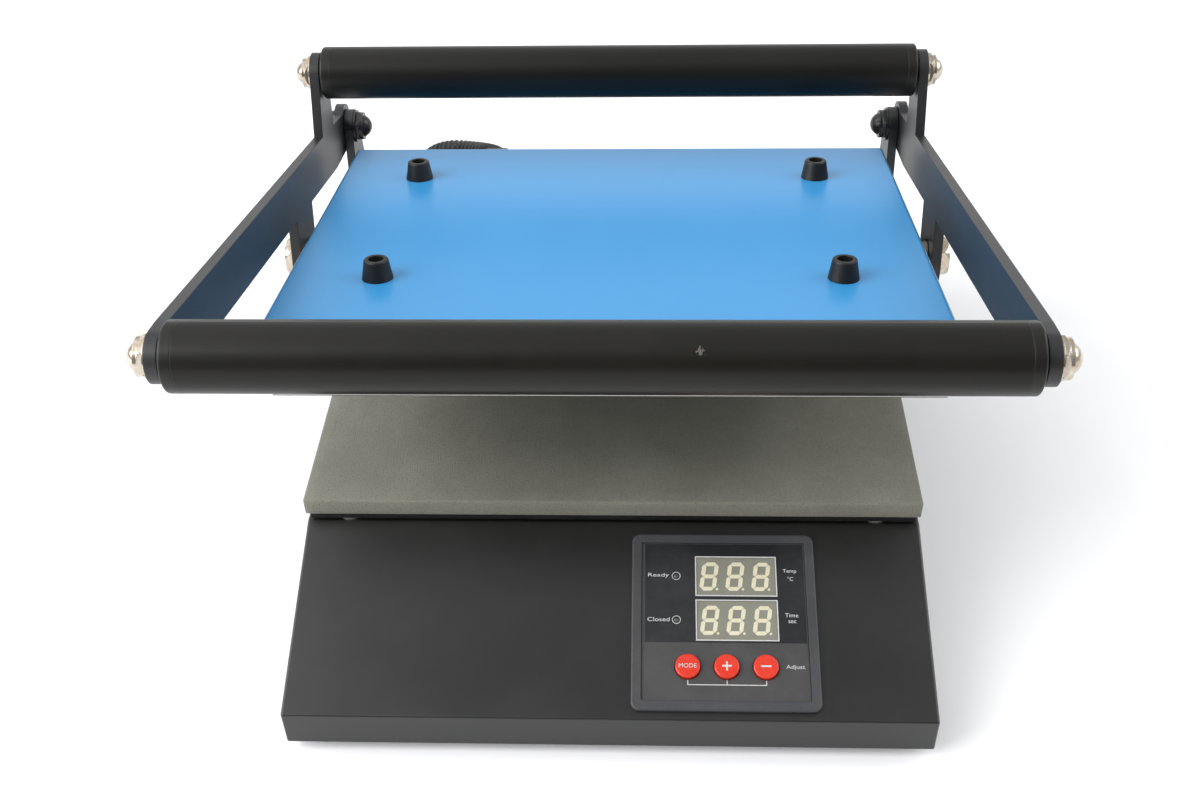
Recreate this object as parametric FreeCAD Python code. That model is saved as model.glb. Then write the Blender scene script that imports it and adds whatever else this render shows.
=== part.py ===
import FreeCAD, Part
import math
import os

# Clamshell heat press, A4 class. Millimetres, +Z up, front faces -Y.
# Origin: centre of the footprint, on the plane of the rubber feet.
# The press is stored half open, which is the pose of every solid here.

V = FreeCAD.Vector
os.makedirs("parts", exist_ok=True)

# ---- driving sizes -------------------------------------------------------
BASE_WIDTH = 300.0
BASE_DEPTH = 390.0
LIP_HEIGHT = 19.3          # upright strip at the front of the base
DECK_HEIGHT = 51.6         # deck above the underside of the base
SLOPE_DEPTH = 93.7         # how far back the control slope reaches
BASE_SHEET = 1.5
FOLD_ROUND = 1.2           # outside of the folded edges
FOOT_HEIGHT = 6.0
FOOT_RADIUS = 10.0

PLATEN_WIDTH = 300.0       # pad and heater are the same size
PLATEN_DEPTH = 230.0
PAD_THICK = 9.8
PAD_OVERHANG = 1.7         # pad front edge ahead of the top of the slope
TRAY_THICK = 3.9           # steel plate under the pad
TRAY_INSET = 2.0
TRAY_STANDOFF = 1.4
PAD_SEAT_GAP = 0.3

HEATER_PLATE_THICK = 12.5
COVER_HEIGHT = 23.0
COVER_SHEET = 1.2
COVER_GAP = 0.5            # cover rim above the heater plate
COVER_ROUND = 2.0
CLOSED_GAP = 0.3           # heater above the pad when shut

PIVOT_INSET = 44.0         # main pivot ahead of the rear wall
PIVOT_HEIGHT = 136.0
ARM_TILT = 15.1            # arms, front up, as stored
HEATER_TILT = 11.1         # heater, front up, as stored
ARM_THICK = 5.0
ARM_SIDE_CLEAR = 12.5      # inner face of an arm to the base or platen, whichever is wider
ARM_TOP = 9.0              # arm edges above and below the pivot line
ARM_BOTTOM = -16.0
LOBE_RADIUS = 13.0
FRONT_ROLL_SETBACK = 3.0   # front roller axis from above the base's front edge
FRONT_ROLL_UP = -2.0
REAR_ROLL = (-48.0, 41.5)  # rear roller axis from the pivot, along and up
LUG_BEHIND_PAD = 21.5      # heater pivot behind the pad's middle, along the arm
LUG_UP = -40.7
LUG_WIDTH = 34.0
LUG_RADIUS = 15.0
UPRIGHT_WIDTH = 22.0
ARM_END_RADIUS = 10.5
LUG_PIN_HEIGHT = 6.5       # heater pivot above the platen face

ROLL_RADIUS = 14.0
ROLL_WALL = 2.0
ROLL_END_GAP = 1.2         # cap to arm
CAP_LENGTH = 5.0
CAP_ROUND = 1.2
CAP_SPIGOT = 12.0
ROD_RADIUS = 6.0
ROD_THREAD_RADIUS = 5.0
RUN_FIT = 0.06             # radial running clearance

ACORN_FLATS = 16.0
ACORN_HEX = 3.8
ACORN_TOTAL = 8.4
WASHER_THICK = 1.2
WASHER_RADIUS = 9.0

BRACKET_THICK = 5.0
BRACKET_WIDTH = 30.0
BRACKET_FOOT = 12.0        # bracket's lower end above the floor
BRACKET_SHOULDER = 104.0   # where the bracket starts to narrow
BRACKET_RADIUS = 9.8
ARM_BRACKET_GAP = 0.3
PIVOT_RADIUS = 6.0
PIVOT_HEAD_RADIUS = 9.0
PIVOT_HEAD_THICK = 4.2
PIVOT_WASHER_RADIUS = 9.4
LUG_HEAD_FLATS = 19.0
LUG_HEAD_THICK = 5.6
LUG_THREAD_RADIUS = 4.0
LUG_THREAD_DEPTH = 20.0
SIDE_GAP = 0.3             # axial play beside a moving plate

PANEL_X = 54.0             # controller centre, right of the middle
PANEL_WIDTH = 87.0
PANEL_DEPTH = 88.0
PANEL_LOW = 3.8            # lower edge up the slope
PANEL_RISE = 2.4           # bezel above the sheet
PANEL_BORDER = 4.6
PANEL_RECESS = 0.8
CASE_DEPTH = 15.0
CASE_WALL = 2.0
CASE_INSET = 3.5
FACE_THICK = 1.4
DISPLAY_WIDTH = 37.6
DISPLAY_DEPTH = 19.4
DISPLAY_X = 60.0
DISPLAY_S = (70.1, 47.8)
DISPLAY_THICK = 8.0
BUTTON_X = (36.6, 54.6, 72.6)
BUTTON_S = 24.7
BUTTON_RADIUS = 5.8
BUTTON_RISE = 2.0
BUTTON_CLEAR = 0.35
BUTTON_STEM = 2.6
BUTTON_TRAVEL = 0.8
LED_X = 31.6
LED_RADIUS = 1.5
BOARD_THICK = 1.6

FEET_SIDE_INSET = 43.1     # rubber feet from the cover's edges
FEET_END_INSET = 48.5
CONE_BASE = 7.3
CONE_TOP = 5.6
CONE_HEIGHT = 9.5
POST_RADIUS = 4.0
SCREW_RADIUS = 2.0

CONDUIT_RADIUS = 6.0
GLAND_FLATS = 20.0
GLAND_LENGTH = 11.0
GLAND_THREAD = 8.0
HEATER_GLAND_X = -70.0
DECK_GLAND_INSET = (26.0, 32.0)    # conduit's deck gland from the left and rear edges
REAR_FITTINGS = 3.0        # fuse cap stands this far out of the rear wall

# ---- values that follow --------------------------------------------------
FRONT = -(BASE_DEPTH + REAR_FITTINGS) / 2
REAR = FRONT + BASE_DEPTH
HALF = BASE_WIDTH / 2
PIVOT_BACK = BASE_DEPTH - PIVOT_INSET
PAD_FRONT = SLOPE_DEPTH - PAD_OVERHANG
BOTTOM = FOOT_HEIGHT
LIP_Z = BOTTOM + LIP_HEIGHT
DECK_Z = BOTTOM + DECK_HEIGHT
SLOPE = math.degrees(math.atan2(DECK_Z - LIP_Z, SLOPE_DEPTH))
TRAY_Z = DECK_Z + TRAY_STANDOFF
PAD_Z = TRAY_Z + TRAY_THICK + PAD_SEAT_GAP
PAD_TOP = PAD_Z + PAD_THICK
PAD_CENTRE = FRONT + PAD_FRONT + PLATEN_DEPTH / 2
PIVOT = V(0, FRONT + PIVOT_BACK, PIVOT_HEIGHT)
ARM_IN = max(BASE_WIDTH, PLATEN_WIDTH) / 2 + ARM_SIDE_CLEAR
ARM_OUT = ARM_IN + ARM_THICK
BRACKET_OUT = ARM_IN - ARM_BRACKET_GAP
BRACKET_IN = BRACKET_OUT - BRACKET_THICK
ROLL_HALF = ARM_IN - ROLL_END_GAP
COVER_LOW = HEATER_PLATE_THICK + COVER_GAP
HEATER_TOTAL = COVER_LOW + COVER_HEIGHT    # platen face to the top of the cover
FRONT_ROLL = (-(PIVOT_BACK - FRONT_ROLL_SETBACK), FRONT_ROLL_UP)
LUG_PIN = (-(PIVOT_BACK - PAD_FRONT - PLATEN_DEPTH / 2 - LUG_BEHIND_PAD), LUG_UP)
FEET_X = PLATEN_WIDTH / 2 - FEET_SIDE_INSET
FEET_Y = PLATEN_DEPTH / 2 - FEET_END_INSET
DECK_GLAND = (-HALF + DECK_GLAND_INSET[0], BASE_DEPTH - DECK_GLAND_INSET[1])


# ---- small shape helpers -------------------------------------------------
def box(x0, x1, y0, y1, z0, z1):
    return Part.makeBox(x1 - x0, y1 - y0, z1 - z0, V(x0, y0, z0))


def rod(radius, start, direction, length):
    return Part.makeCylinder(radius, length, start, direction)


def rod_x(radius, x0, x1, y, z):
    return rod(radius, V(min(x0, x1), y, z), V(1, 0, 0), abs(x1 - x0))


def prism_x(points, x0, x1):
    corners = [V(x0, y, z) for y, z in points]
    corners.append(corners[0])
    return Part.Face(Part.makePolygon(corners)).extrude(V(x1 - x0, 0, 0))


def hexagon_x(flats, x0, x1, y, z):
    reach = flats / math.sqrt(3)
    points = []
    for k in range(6):
        turn = math.radians(60 * k + 30)
        points.append((y + reach * math.cos(turn), z + reach * math.sin(turn)))
    return prism_x(points, x0, x1)


def hexagon_z(flats, z0, z1, x, y):
    corners = []
    for k in range(7):
        turn = math.radians(60 * k)
        reach = flats / math.sqrt(3)
        corners.append(V(x + reach * math.cos(turn), y + reach * math.sin(turn), z0))
    return Part.Face(Part.makePolygon(corners)).extrude(V(0, 0, z1 - z0))


def fuse(shapes):
    whole = shapes[0]
    if len(shapes) > 1:
        whole = whole.fuse(shapes[1:])
    return whole.removeSplitter()


def both_sides(shape):
    return [shape, shape.mirror(V(0, 0, 0), V(1, 0, 0))]


def save(node, shapes):
    group = shapes if isinstance(shapes, list) else [shapes]
    solids = []
    for shape in group:
        solids.extend(shape.Solids)
    whole = solids[0] if len(solids) == 1 else Part.makeCompound(solids)
    whole.exportStep("parts/" + node + ".step")


def tilt_about_x(shape, degrees_front_up, spot):
    moved = shape.copy()
    moved.rotate(V(0, 0, 0), V(1, 0, 0), -degrees_front_up)
    moved.translate(spot)
    return moved


def arm_to_press(shape):
    """Arm space: origin on the main pivot, +Y back along the arm."""
    return tilt_about_x(shape, ARM_TILT, PIVOT)


def arm_point(along, up):
    a = math.radians(ARM_TILT)
    y = along * math.cos(a) + up * math.sin(a)
    z = up * math.cos(a) - along * math.sin(a)
    return PIVOT + V(0, y, z)


LUG_SPOT = arm_point(*LUG_PIN)


def closed_angle():
    """Turn of the arms that lays the heater flat on the pad."""
    reach = math.hypot(LUG_SPOT.y - PIVOT.y, LUG_SPOT.z - PIVOT.z)
    shut_drop = PIVOT.z - (PAD_TOP + CLOSED_GAP + LUG_PIN_HEIGHT)
    now = math.degrees(math.asin((PIVOT.z - LUG_SPOT.z) / reach))
    return math.degrees(math.asin(shut_drop / reach)) - now


SHUT = closed_angle()


def lug_back_of_centre():
    """Heater pivot behind the heater's middle, so that it shuts over the pad."""
    reach = math.hypot(LUG_SPOT.y - PIVOT.y, LUG_SPOT.z - PIVOT.z)
    shut_drop = PIVOT.z - (PAD_TOP + CLOSED_GAP + LUG_PIN_HEIGHT)
    shut_y = PIVOT.y - math.sqrt(reach * reach - shut_drop * shut_drop)
    return shut_y - PAD_CENTRE


LUG_BACK = lug_back_of_centre()


def heater_to_press(shape):
    """Heater space: origin on its face under the middle, lug pins at y LUG_BACK."""
    moved = shape.copy()
    moved.translate(V(0, -LUG_BACK, -LUG_PIN_HEIGHT))
    return tilt_about_x(moved, HEATER_TILT, LUG_SPOT)


def heater_point(x, y, z):
    a = math.radians(HEATER_TILT)
    dy = y - LUG_BACK
    dz = z - LUG_PIN_HEIGHT
    spot = V(x, dy * math.cos(a) + dz * math.sin(a), dz * math.cos(a) - dy * math.sin(a))
    return LUG_SPOT + spot


def slope_to_press(shape):
    """Slope space: x across, y up the slope, z out of the sheet."""
    return tilt_about_x(shape, -SLOPE, V(0, FRONT, LIP_Z))


# ---- base ----------------------------------------------------------------
def base_profile(sheet):
    slope_tan = math.tan(math.radians(SLOPE))
    drop = sheet / math.cos(math.radians(SLOPE))
    lip_z = LIP_Z + sheet * slope_tan - drop
    top_z = DECK_Z - sheet
    knee = (top_z - LIP_Z + drop) / slope_tan
    if sheet == 0:
        lip_z = LIP_Z
        knee = SLOPE_DEPTH
    low = BOTTOM - (1 if sheet else 0)
    return [(FRONT + sheet, low), (FRONT + sheet, lip_z), (FRONT + knee, top_z),
            (REAR - sheet, top_z), (REAR - sheet, low)]


STANDOFF_X = min(BASE_WIDTH, PLATEN_WIDTH) / 2 - 21.0
STANDOFF_Y = (PAD_CENTRE - PLATEN_DEPTH / 2 + 8.0, PAD_CENTRE + PLATEN_DEPTH / 2 - 8.0)
FOOT_INSET = 22.0
BOLT_Z = (BOTTOM + 16.0, BOTTOM + 34.0)
INLET = (-70.0, 30.0)      # x and z of the power inlet's middle
SWITCH = (-20.0, 30.0)
FUSE = (18.0, 30.0)


def foot_spots():
    spots = []
    for x in (-HALF + FOOT_INSET, HALF - FOOT_INSET):
        for y in (FRONT + FOOT_INSET, REAR - FOOT_INSET):
            spots.append((x, y))
    return spots


def standoff_spots():
    return [(x, y) for x in (-STANDOFF_X, STANDOFF_X) for y in STANDOFF_Y]


def base_housing():
    shell = prism_x(base_profile(0), -HALF, HALF)
    folds = [e for e in shell.Edges if e.BoundBox.ZMax > BOTTOM + 0.01]
    shell = shell.makeFillet(FOLD_ROUND, folds)
    inner = prism_x(base_profile(BASE_SHEET), -HALF + BASE_SHEET, HALF - BASE_SHEET)
    shell = shell.cut(inner)
    inset = CASE_INSET - 0.4
    hole = box(PANEL_X - PANEL_WIDTH / 2 + inset, PANEL_X + PANEL_WIDTH / 2 - inset,
               PANEL_LOW + inset, PANEL_LOW + PANEL_DEPTH - inset, -8, 4)
    cuts = [slope_to_press(hole)]
    for x, y in standoff_spots():
        cuts.append(rod(SCREW_RADIUS, V(x, y, DECK_Z - 5), V(0, 0, 1), 10))
    gx, gy = DECK_GLAND
    cuts.append(rod(GLAND_THREAD, V(gx, FRONT + gy, DECK_Z - 5), V(0, 0, 1), 10))
    cuts.append(box(INLET[0] - 13.8, INLET[0] + 13.8, REAR - 5, REAR + 5,
                    INLET[1] - 10.2, INLET[1] + 10.2))
    cuts.append(box(SWITCH[0] - 9.7, SWITCH[0] + 9.7, REAR - 5, REAR + 5,
                    SWITCH[1] - 6.7, SWITCH[1] + 6.7))
    cuts.append(rod(6.0, V(FUSE[0], REAR - 5, FUSE[1]), V(0, 1, 0), 10))
    for k in range(8):
        x = 48.0 + 9.0 * k
        cuts.append(box(x, x + 4, REAR - 5, REAR + 5, BOTTOM + 14, BOTTOM + 38))
    for side in (-1, 1):
        for z in BOLT_Z:
            cuts.append(rod_x(2.5, side * (HALF - 5), side * (HALF + 5), PIVOT.y, z))
    return shell.cut(cuts).fuse(base_tabs()).removeSplitter()


def base_bottom_plate():
    edge = BASE_SHEET + 0.3
    plate = box(-HALF + edge, HALF - edge, FRONT + edge, REAR - edge, BOTTOM, BOTTOM + BASE_SHEET)
    cuts = [rod(SCREW_RADIUS, V(x, y, 0), V(0, 0, 1), 20) for x, y in foot_spots()]
    return plate.cut(cuts)


def base_tabs():
    """Folded corner tabs of the shell that the bottom plate screws to."""
    edge = BASE_SHEET + 0.3
    low = BOTTOM + BASE_SHEET
    tabs = []
    for x, y in foot_spots():
        side = 1 if x > 0 else -1
        inside = side * (HALF - BASE_SHEET)
        back = 1 if y > 0 else -1
        end = REAR - BASE_SHEET if y > 0 else FRONT + BASE_SHEET
        tab = box(min(inside, x - side * 8), max(inside, x - side * 8),
                  min(end, y - back * 8), max(end, y - back * 8), low, low + 1.5)
        tabs.append(tab.cut(rod(SCREW_RADIUS, V(x, y, 0), V(0, 0, 1), 20)))
    return tabs


def base_feet():
    feet = []
    for x, y in foot_spots():
        foot = Part.makeCone(FOOT_RADIUS - 1.5, FOOT_RADIUS, FOOT_HEIGHT, V(x, y, 0), V(0, 0, 1))
        foot = foot.cut(rod(SCREW_RADIUS + 2.2, V(x, y, -1), V(0, 0, 1), 4))
        feet.append(foot.cut(rod(SCREW_RADIUS, V(x, y, -1), V(0, 0, 1), 20)))
    return feet


def base_foot_screws():
    screws = []
    for x, y in foot_spots():
        shank = rod(SCREW_RADIUS, V(x, y, 3), V(0, 0, 1), BOTTOM + BASE_SHEET + 1.5)
        head = rod(SCREW_RADIUS + 1.8, V(x, y, 1), V(0, 0, 1), 2)
        screws.append(fuse([shank, head]))
    return screws


# ---- pad and its tray ----------------------------------------------------
def tray_standoffs():
    rings = []
    for x, y in standoff_spots():
        ring = rod(6, V(x, y, DECK_Z), V(0, 0, 1), TRAY_STANDOFF)
        rings.append(ring.cut(rod(SCREW_RADIUS, V(x, y, DECK_Z - 1), V(0, 0, 1), 10)))
    return rings


def pad_tray():
    half_x = PLATEN_WIDTH / 2 - TRAY_INSET
    half_y = PLATEN_DEPTH / 2 - TRAY_INSET
    tray = box(-half_x, half_x, PAD_CENTRE - half_y, PAD_CENTRE + half_y, TRAY_Z, TRAY_Z + TRAY_THICK)
    cuts = [rod(SCREW_RADIUS, V(x, y, DECK_Z), V(0, 0, 1), 20) for x, y in standoff_spots()]
    return tray.cut(cuts)


def tray_screws():
    screws = []
    for x, y in standoff_spots():
        low = DECK_Z - BASE_SHEET
        shank = rod(SCREW_RADIUS, V(x, y, low - 2), V(0, 0, 1), TRAY_Z + TRAY_THICK - low + 1.6)
        head = rod(SCREW_RADIUS + 1.8, V(x, y, low - 4), V(0, 0, 1), 4)
        screws.append(fuse([shank, head]))
    return screws


def silicone_pad():
    return box(-PLATEN_WIDTH / 2, PLATEN_WIDTH / 2, PAD_CENTRE - PLATEN_DEPTH / 2,
               PAD_CENTRE + PLATEN_DEPTH / 2, PAD_Z, PAD_TOP)


# ---- controller, built flat in slope space -------------------------------
PANEL_X0 = PANEL_X - PANEL_WIDTH / 2
PANEL_X1 = PANEL_X + PANEL_WIDTH / 2
PANEL_S1 = PANEL_LOW + PANEL_DEPTH
FACE_TOP = PANEL_RISE - PANEL_RECESS
FACE_LOW = FACE_TOP - FACE_THICK
BOARD_TOP = FACE_TOP - DISPLAY_THICK


def panel_block(inset, z0, z1):
    return box(PANEL_X0 + inset, PANEL_X1 - inset, PANEL_LOW + inset, PANEL_S1 - inset, z0, z1)


def controller_housing():
    flange = panel_block(0, 0, PANEL_RISE)
    rims = []
    for edge in flange.Edges:
        a = edge.Vertexes[0].Point
        b = edge.Vertexes[-1].Point
        if abs(a.z - b.z) > 0.1:
            rims.append(edge)
    flange = flange.makeFillet(4.0, rims)
    tops = []
    for edge in flange.Edges:
        if edge.BoundBox.ZMin > PANEL_RISE - 0.01:
            tops.append(edge)
    flange = flange.makeFillet(0.8, tops)
    case = panel_block(CASE_INSET, -CASE_DEPTH, 0.5)
    whole = flange.fuse(case)
    whole = whole.cut(panel_block(PANEL_BORDER, FACE_LOW, PANEL_RISE + 1))
    whole = whole.cut(panel_block(CASE_INSET + CASE_WALL, -CASE_DEPTH + CASE_WALL, FACE_LOW + 0.5))
    return slope_to_press(whole.fuse(board_posts()).removeSplitter())


def controller_face():
    gap = 0.15
    plate = panel_block(PANEL_BORDER + gap, FACE_LOW, FACE_TOP)
    cuts = []
    for s in DISPLAY_S:
        half_x = DISPLAY_WIDTH / 2 + gap
        half_s = DISPLAY_DEPTH / 2 + gap
        cuts.append(box(DISPLAY_X - half_x, DISPLAY_X + half_x, s - half_s, s + half_s, -3, 4))
        cuts.append(rod(LED_RADIUS + 0.1, V(LED_X, s, -3), V(0, 0, 1), 7))
    for x in BUTTON_X:
        cuts.append(rod(BUTTON_RADIUS + BUTTON_CLEAR, V(x, BUTTON_S, -3), V(0, 0, 1), 7))
    return slope_to_press(plate.cut(cuts))


def controller_board():
    gap = 0.2
    low = BOARD_TOP - BOARD_THICK
    board = panel_block(CASE_INSET + CASE_WALL + gap, low, BOARD_TOP)
    for x in BUTTON_X:
        board = board.cut(rod(BUTTON_STEM / 2 + 0.4, V(x, BUTTON_S, low - 1), V(0, 0, 1), 5))
    return slope_to_press(board)


def board_posts():
    """Moulded posts on the case floor that the board sits on."""
    posts = []
    low = -CASE_DEPTH + CASE_WALL
    edge = CASE_INSET + CASE_WALL + 5.0
    for x in (PANEL_X0 + edge, PANEL_X1 - edge):
        for s in (PANEL_LOW + edge, PANEL_S1 - edge):
            top = BOARD_TOP - BOARD_THICK
            posts.append(rod(2.5, V(x, s, low), V(0, 0, 1), top - low))
    return posts


def display(s):
    half_x = DISPLAY_WIDTH / 2
    half_s = DISPLAY_DEPTH / 2
    block = box(DISPLAY_X - half_x, DISPLAY_X + half_x, s - half_s, s + half_s, BOARD_TOP, FACE_TOP - 0.3)
    return slope_to_press(block)


def indicator_lamps():
    lamps = []
    for s in DISPLAY_S:
        body = rod(LED_RADIUS, V(LED_X, s, BOARD_TOP), V(0, 0, 1), FACE_TOP - BOARD_TOP - LED_RADIUS * 0.6)
        dome = Part.makeSphere(LED_RADIUS, V(LED_X, s, FACE_TOP - LED_RADIUS * 0.6))
        lamps.append(slope_to_press(fuse([body, dome])))
    return lamps


def button(x):
    cap_low = FACE_LOW - 1.0
    cap = rod(BUTTON_RADIUS, V(x, BUTTON_S, cap_low), V(0, 0, 1), FACE_TOP + BUTTON_RISE - cap_low)
    tops = [e for e in cap.Edges if e.BoundBox.ZMin > FACE_TOP + BUTTON_RISE - 0.01]
    cap = cap.makeFillet(0.7, tops)
    stem = rod(BUTTON_STEM / 2, V(x, BUTTON_S, BOARD_TOP - 1.0), V(0, 0, 1), cap_low - BOARD_TOP + 1.2)
    return slope_to_press(fuse([cap, stem]))


def button_switches():
    """Tact switches on the board; each cap's stem runs in one."""
    blocks = []
    top = FACE_LOW - 1.0 - BUTTON_TRAVEL - 0.3
    for x in BUTTON_X:
        block = box(x - 3, x + 3, BUTTON_S - 3, BUTTON_S + 3, BOARD_TOP, top)
        block = block.cut(rod(BUTTON_STEM / 2 + RUN_FIT, V(x, BUTTON_S, BOARD_TOP - 1), V(0, 0, 1), 12))
        blocks.append(slope_to_press(block))
    return blocks


# ---- rear panel and wiring parts -----------------------------------------
def power_inlet():
    x, z = INLET
    flange = box(x - 17, x + 17, REAR, REAR + 2.2, z - 12, z + 12)
    body = box(x - 13.5, x + 13.5, REAR - 22, REAR + 1, z - 9.9, z + 9.9)
    whole = flange.fuse(body)
    well = box(x - 11, x + 11, REAR - 15, REAR + 5, z - 7, z + 7)
    return whole.cut(well).removeSplitter()


def inlet_pins():
    x, z = INLET
    pins = []
    for dx, dz in ((-7, 2), (7, 2), (0, -3)):
        pins.append(box(x + dx - 2, x + dx + 2, REAR - 15, REAR - 3, z + dz - 1, z + dz + 1))
    return pins


def switch_housing():
    x, z = SWITCH
    flange = box(x - 11.5, x + 11.5, REAR, REAR + 1.8, z - 8.5, z + 8.5)
    body = box(x - 9.5, x + 9.5, REAR - 14, REAR + 1, z - 6.5, z + 6.5)
    well = box(x - 8.3, x + 8.3, REAR - 6, REAR + 5, z - 5.3, z + 5.3)
    return flange.fuse(body).cut(well).removeSplitter()


ROCKER_DEPTH = 2.0         # rocker pivot inside the rear wall


def power_rocker():
    """Rocker with a shallow V face, one end pressed in."""
    x, z = SWITCH
    points = [(-7.6, 3.4), (0, 1.6), (7.6, 3.4), (7.0, -1.6), (2.2, -3.0), (-2.2, -3.0), (-7.0, -1.6)]
    corners = [V(x + px, REAR - ROCKER_DEPTH + py, z - 4.8) for px, py in points]
    corners.append(corners[0])
    block = Part.Face(Part.makePolygon(corners)).extrude(V(0, 0, 9.6))
    spot = V(x, REAR - ROCKER_DEPTH, z)
    block.rotate(spot, V(0, 0, 1), ROCKER_ANGLE)
    return block.cut(rod(0.8 + RUN_FIT, V(x, REAR - ROCKER_DEPTH, z - 9), V(0, 0, 1), 18))


ROCKER_ANGLE = 8.0


def rocker_pin():
    x, z = SWITCH
    return rod(0.8, V(x, REAR - ROCKER_DEPTH, z - 5.3), V(0, 0, 1), 10.6)


def fuse_holder():
    x, z = FUSE
    cap = rod(8, V(x, REAR, z), V(0, 1, 0), REAR_FITTINGS)
    body = rod(6, V(x, REAR - 24, z), V(0, 1, 0), 25)
    slot = box(x - 5, x + 5, REAR + REAR_FITTINGS - 1, REAR + 5, z - 0.8, z + 0.8)
    return cap.fuse(body).cut(slot).removeSplitter()


def relay():
    """Solid state relay that switches the heater, on the bottom plate."""
    low = BOTTOM + BASE_SHEET
    block = box(-40, 5, 20, 78, low, low + 22)
    foot = box(-40, 5, 14, 84, low, low + 3)
    return block.fuse(foot).removeSplitter()


def mains_terminal_block():
    low = BOTTOM + BASE_SHEET
    return box(-96, -48, 96, 114, low, low + 16)


# ---- rear brackets and main pivot ----------------------------------------
def bracket():
    plate = rod_x(BRACKET_RADIUS, BRACKET_IN, BRACKET_OUT, PIVOT.y, PIVOT.z)
    half = BRACKET_WIDTH / 2
    stem = prism_x([(PIVOT.y - half, BRACKET_FOOT), (PIVOT.y + half, BRACKET_FOOT),
                    (PIVOT.y + half, BRACKET_SHOULDER), (PIVOT.y + BRACKET_RADIUS, PIVOT.z),
                    (PIVOT.y - BRACKET_RADIUS, PIVOT.z), (PIVOT.y - half, BRACKET_SHOULDER)],
                   BRACKET_IN, BRACKET_OUT)
    cuts = [rod_x(ROD_THREAD_RADIUS, BRACKET_IN - 1, BRACKET_OUT + 1, PIVOT.y, PIVOT.z)]
    for z in BOLT_Z:
        cuts.append(rod_x(2.5, BRACKET_IN - 1, BRACKET_OUT + 1, PIVOT.y, z))
    return fuse([plate, stem]).cut(cuts)


def bracket_block():
    block = box(HALF, BRACKET_IN, PIVOT.y - 12, PIVOT.y + 12, BOTTOM + 6, BOTTOM + 44)
    cuts = [rod_x(2.5, HALF - 1, BRACKET_IN + 1, PIVOT.y, z) for z in BOLT_Z]
    return block.cut(cuts)


def bracket_bolts():
    bolts = []
    for side in (-1, 1):
        for z in BOLT_Z:
            inside = side * (HALF - BASE_SHEET - 6)
            outside = side * BRACKET_OUT
            shank = rod_x(2.5, inside, outside, PIVOT.y, z)
            head = rod_x(4.5, outside, side * (BRACKET_OUT + 2.6), PIVOT.y, z)
            bolts.append(fuse([shank, head]))
    return bolts


def bracket_nuts():
    nuts = []
    for side in (-1, 1):
        for z in BOLT_Z:
            x0 = side * (HALF - BASE_SHEET - 4.5)
            x1 = side * (HALF - BASE_SHEET)
            nut = hexagon_x(8.0, min(x0, x1), max(x0, x1), PIVOT.y, z)
            nuts.append(nut.cut(rod_x(2.5, x0, x1, PIVOT.y, z)))
    return nuts


def acorn(side, face, flats, y, z):
    """Cap nut on the outside of a face at x = side * face."""
    hexa = hexagon_x(flats, face, face + ACORN_HEX, y, z)
    dome_radius = flats * 0.40
    rise = ACORN_TOTAL - ACORN_HEX
    ball = (dome_radius * dome_radius + rise * rise) / (2 * rise)
    centre = face + ACORN_TOTAL - ball
    dome = Part.makeSphere(ball, V(centre, y, z))
    dome = dome.common(box(face + ACORN_HEX - 0.5, face + 20, y - 20, y + 20, z - 20, z + 20))
    cone = Part.makeCone(flats * 0.62, flats * 0.40, ACORN_HEX + 0.2, V(face, y, z), V(1, 0, 0))
    hexa = hexa.common(cone.fuse(rod_x(flats * 0.5, face, face + ACORN_HEX, y, z)))
    bore = rod_x(ROD_THREAD_RADIUS, face - 1, face + ACORN_HEX + 1.2, y, z)
    nut = fuse([hexa, dome]).cut(bore)
    if side < 0:
        nut = nut.mirror(V(0, 0, 0), V(1, 0, 0))
    return nut


def washer(x0, x1, radius, bore, y, z):
    return rod_x(radius, x0, x1, y, z).cut(rod_x(bore, x0 - 1, x1 + 1, y, z))


PIVOT_NUT_FACE = BRACKET_IN - 1.5


def pivot_bolts():
    head_face = ARM_OUT + SIDE_GAP
    end = PIVOT_NUT_FACE - ACORN_HEX - 1.2
    shank = rod_x(ROD_THREAD_RADIUS, end, BRACKET_OUT, PIVOT.y, PIVOT.z)
    shoulder = rod_x(PIVOT_RADIUS, BRACKET_OUT, head_face, PIVOT.y, PIVOT.z)
    head = rod_x(PIVOT_HEAD_RADIUS, head_face, head_face + PIVOT_HEAD_THICK, PIVOT.y, PIVOT.z)
    rims = [e for e in head.Edges if e.BoundBox.XMin > head_face + PIVOT_HEAD_THICK - 0.01]
    head = head.makeFillet(1.2, rims)
    socket = hexagon_x(6.0, head_face + 1.6, head_face + 8, PIVOT.y, PIVOT.z)
    return both_sides(fuse([shank, shoulder, head]).cut(socket))


def pivot_washers():
    ring = washer(PIVOT_NUT_FACE, BRACKET_IN, PIVOT_WASHER_RADIUS, ROD_THREAD_RADIUS, PIVOT.y, PIVOT.z)
    return both_sides(ring)


def pivot_nuts():
    """Cap nuts on the inner side, dome towards the middle."""
    nut = acorn(1, 0, ACORN_FLATS, PIVOT.y, PIVOT.z)
    nut = nut.mirror(V(0, 0, 0), V(1, 0, 0))
    nut.translate(V(PIVOT_NUT_FACE, 0, 0))
    return both_sides(nut)


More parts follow.
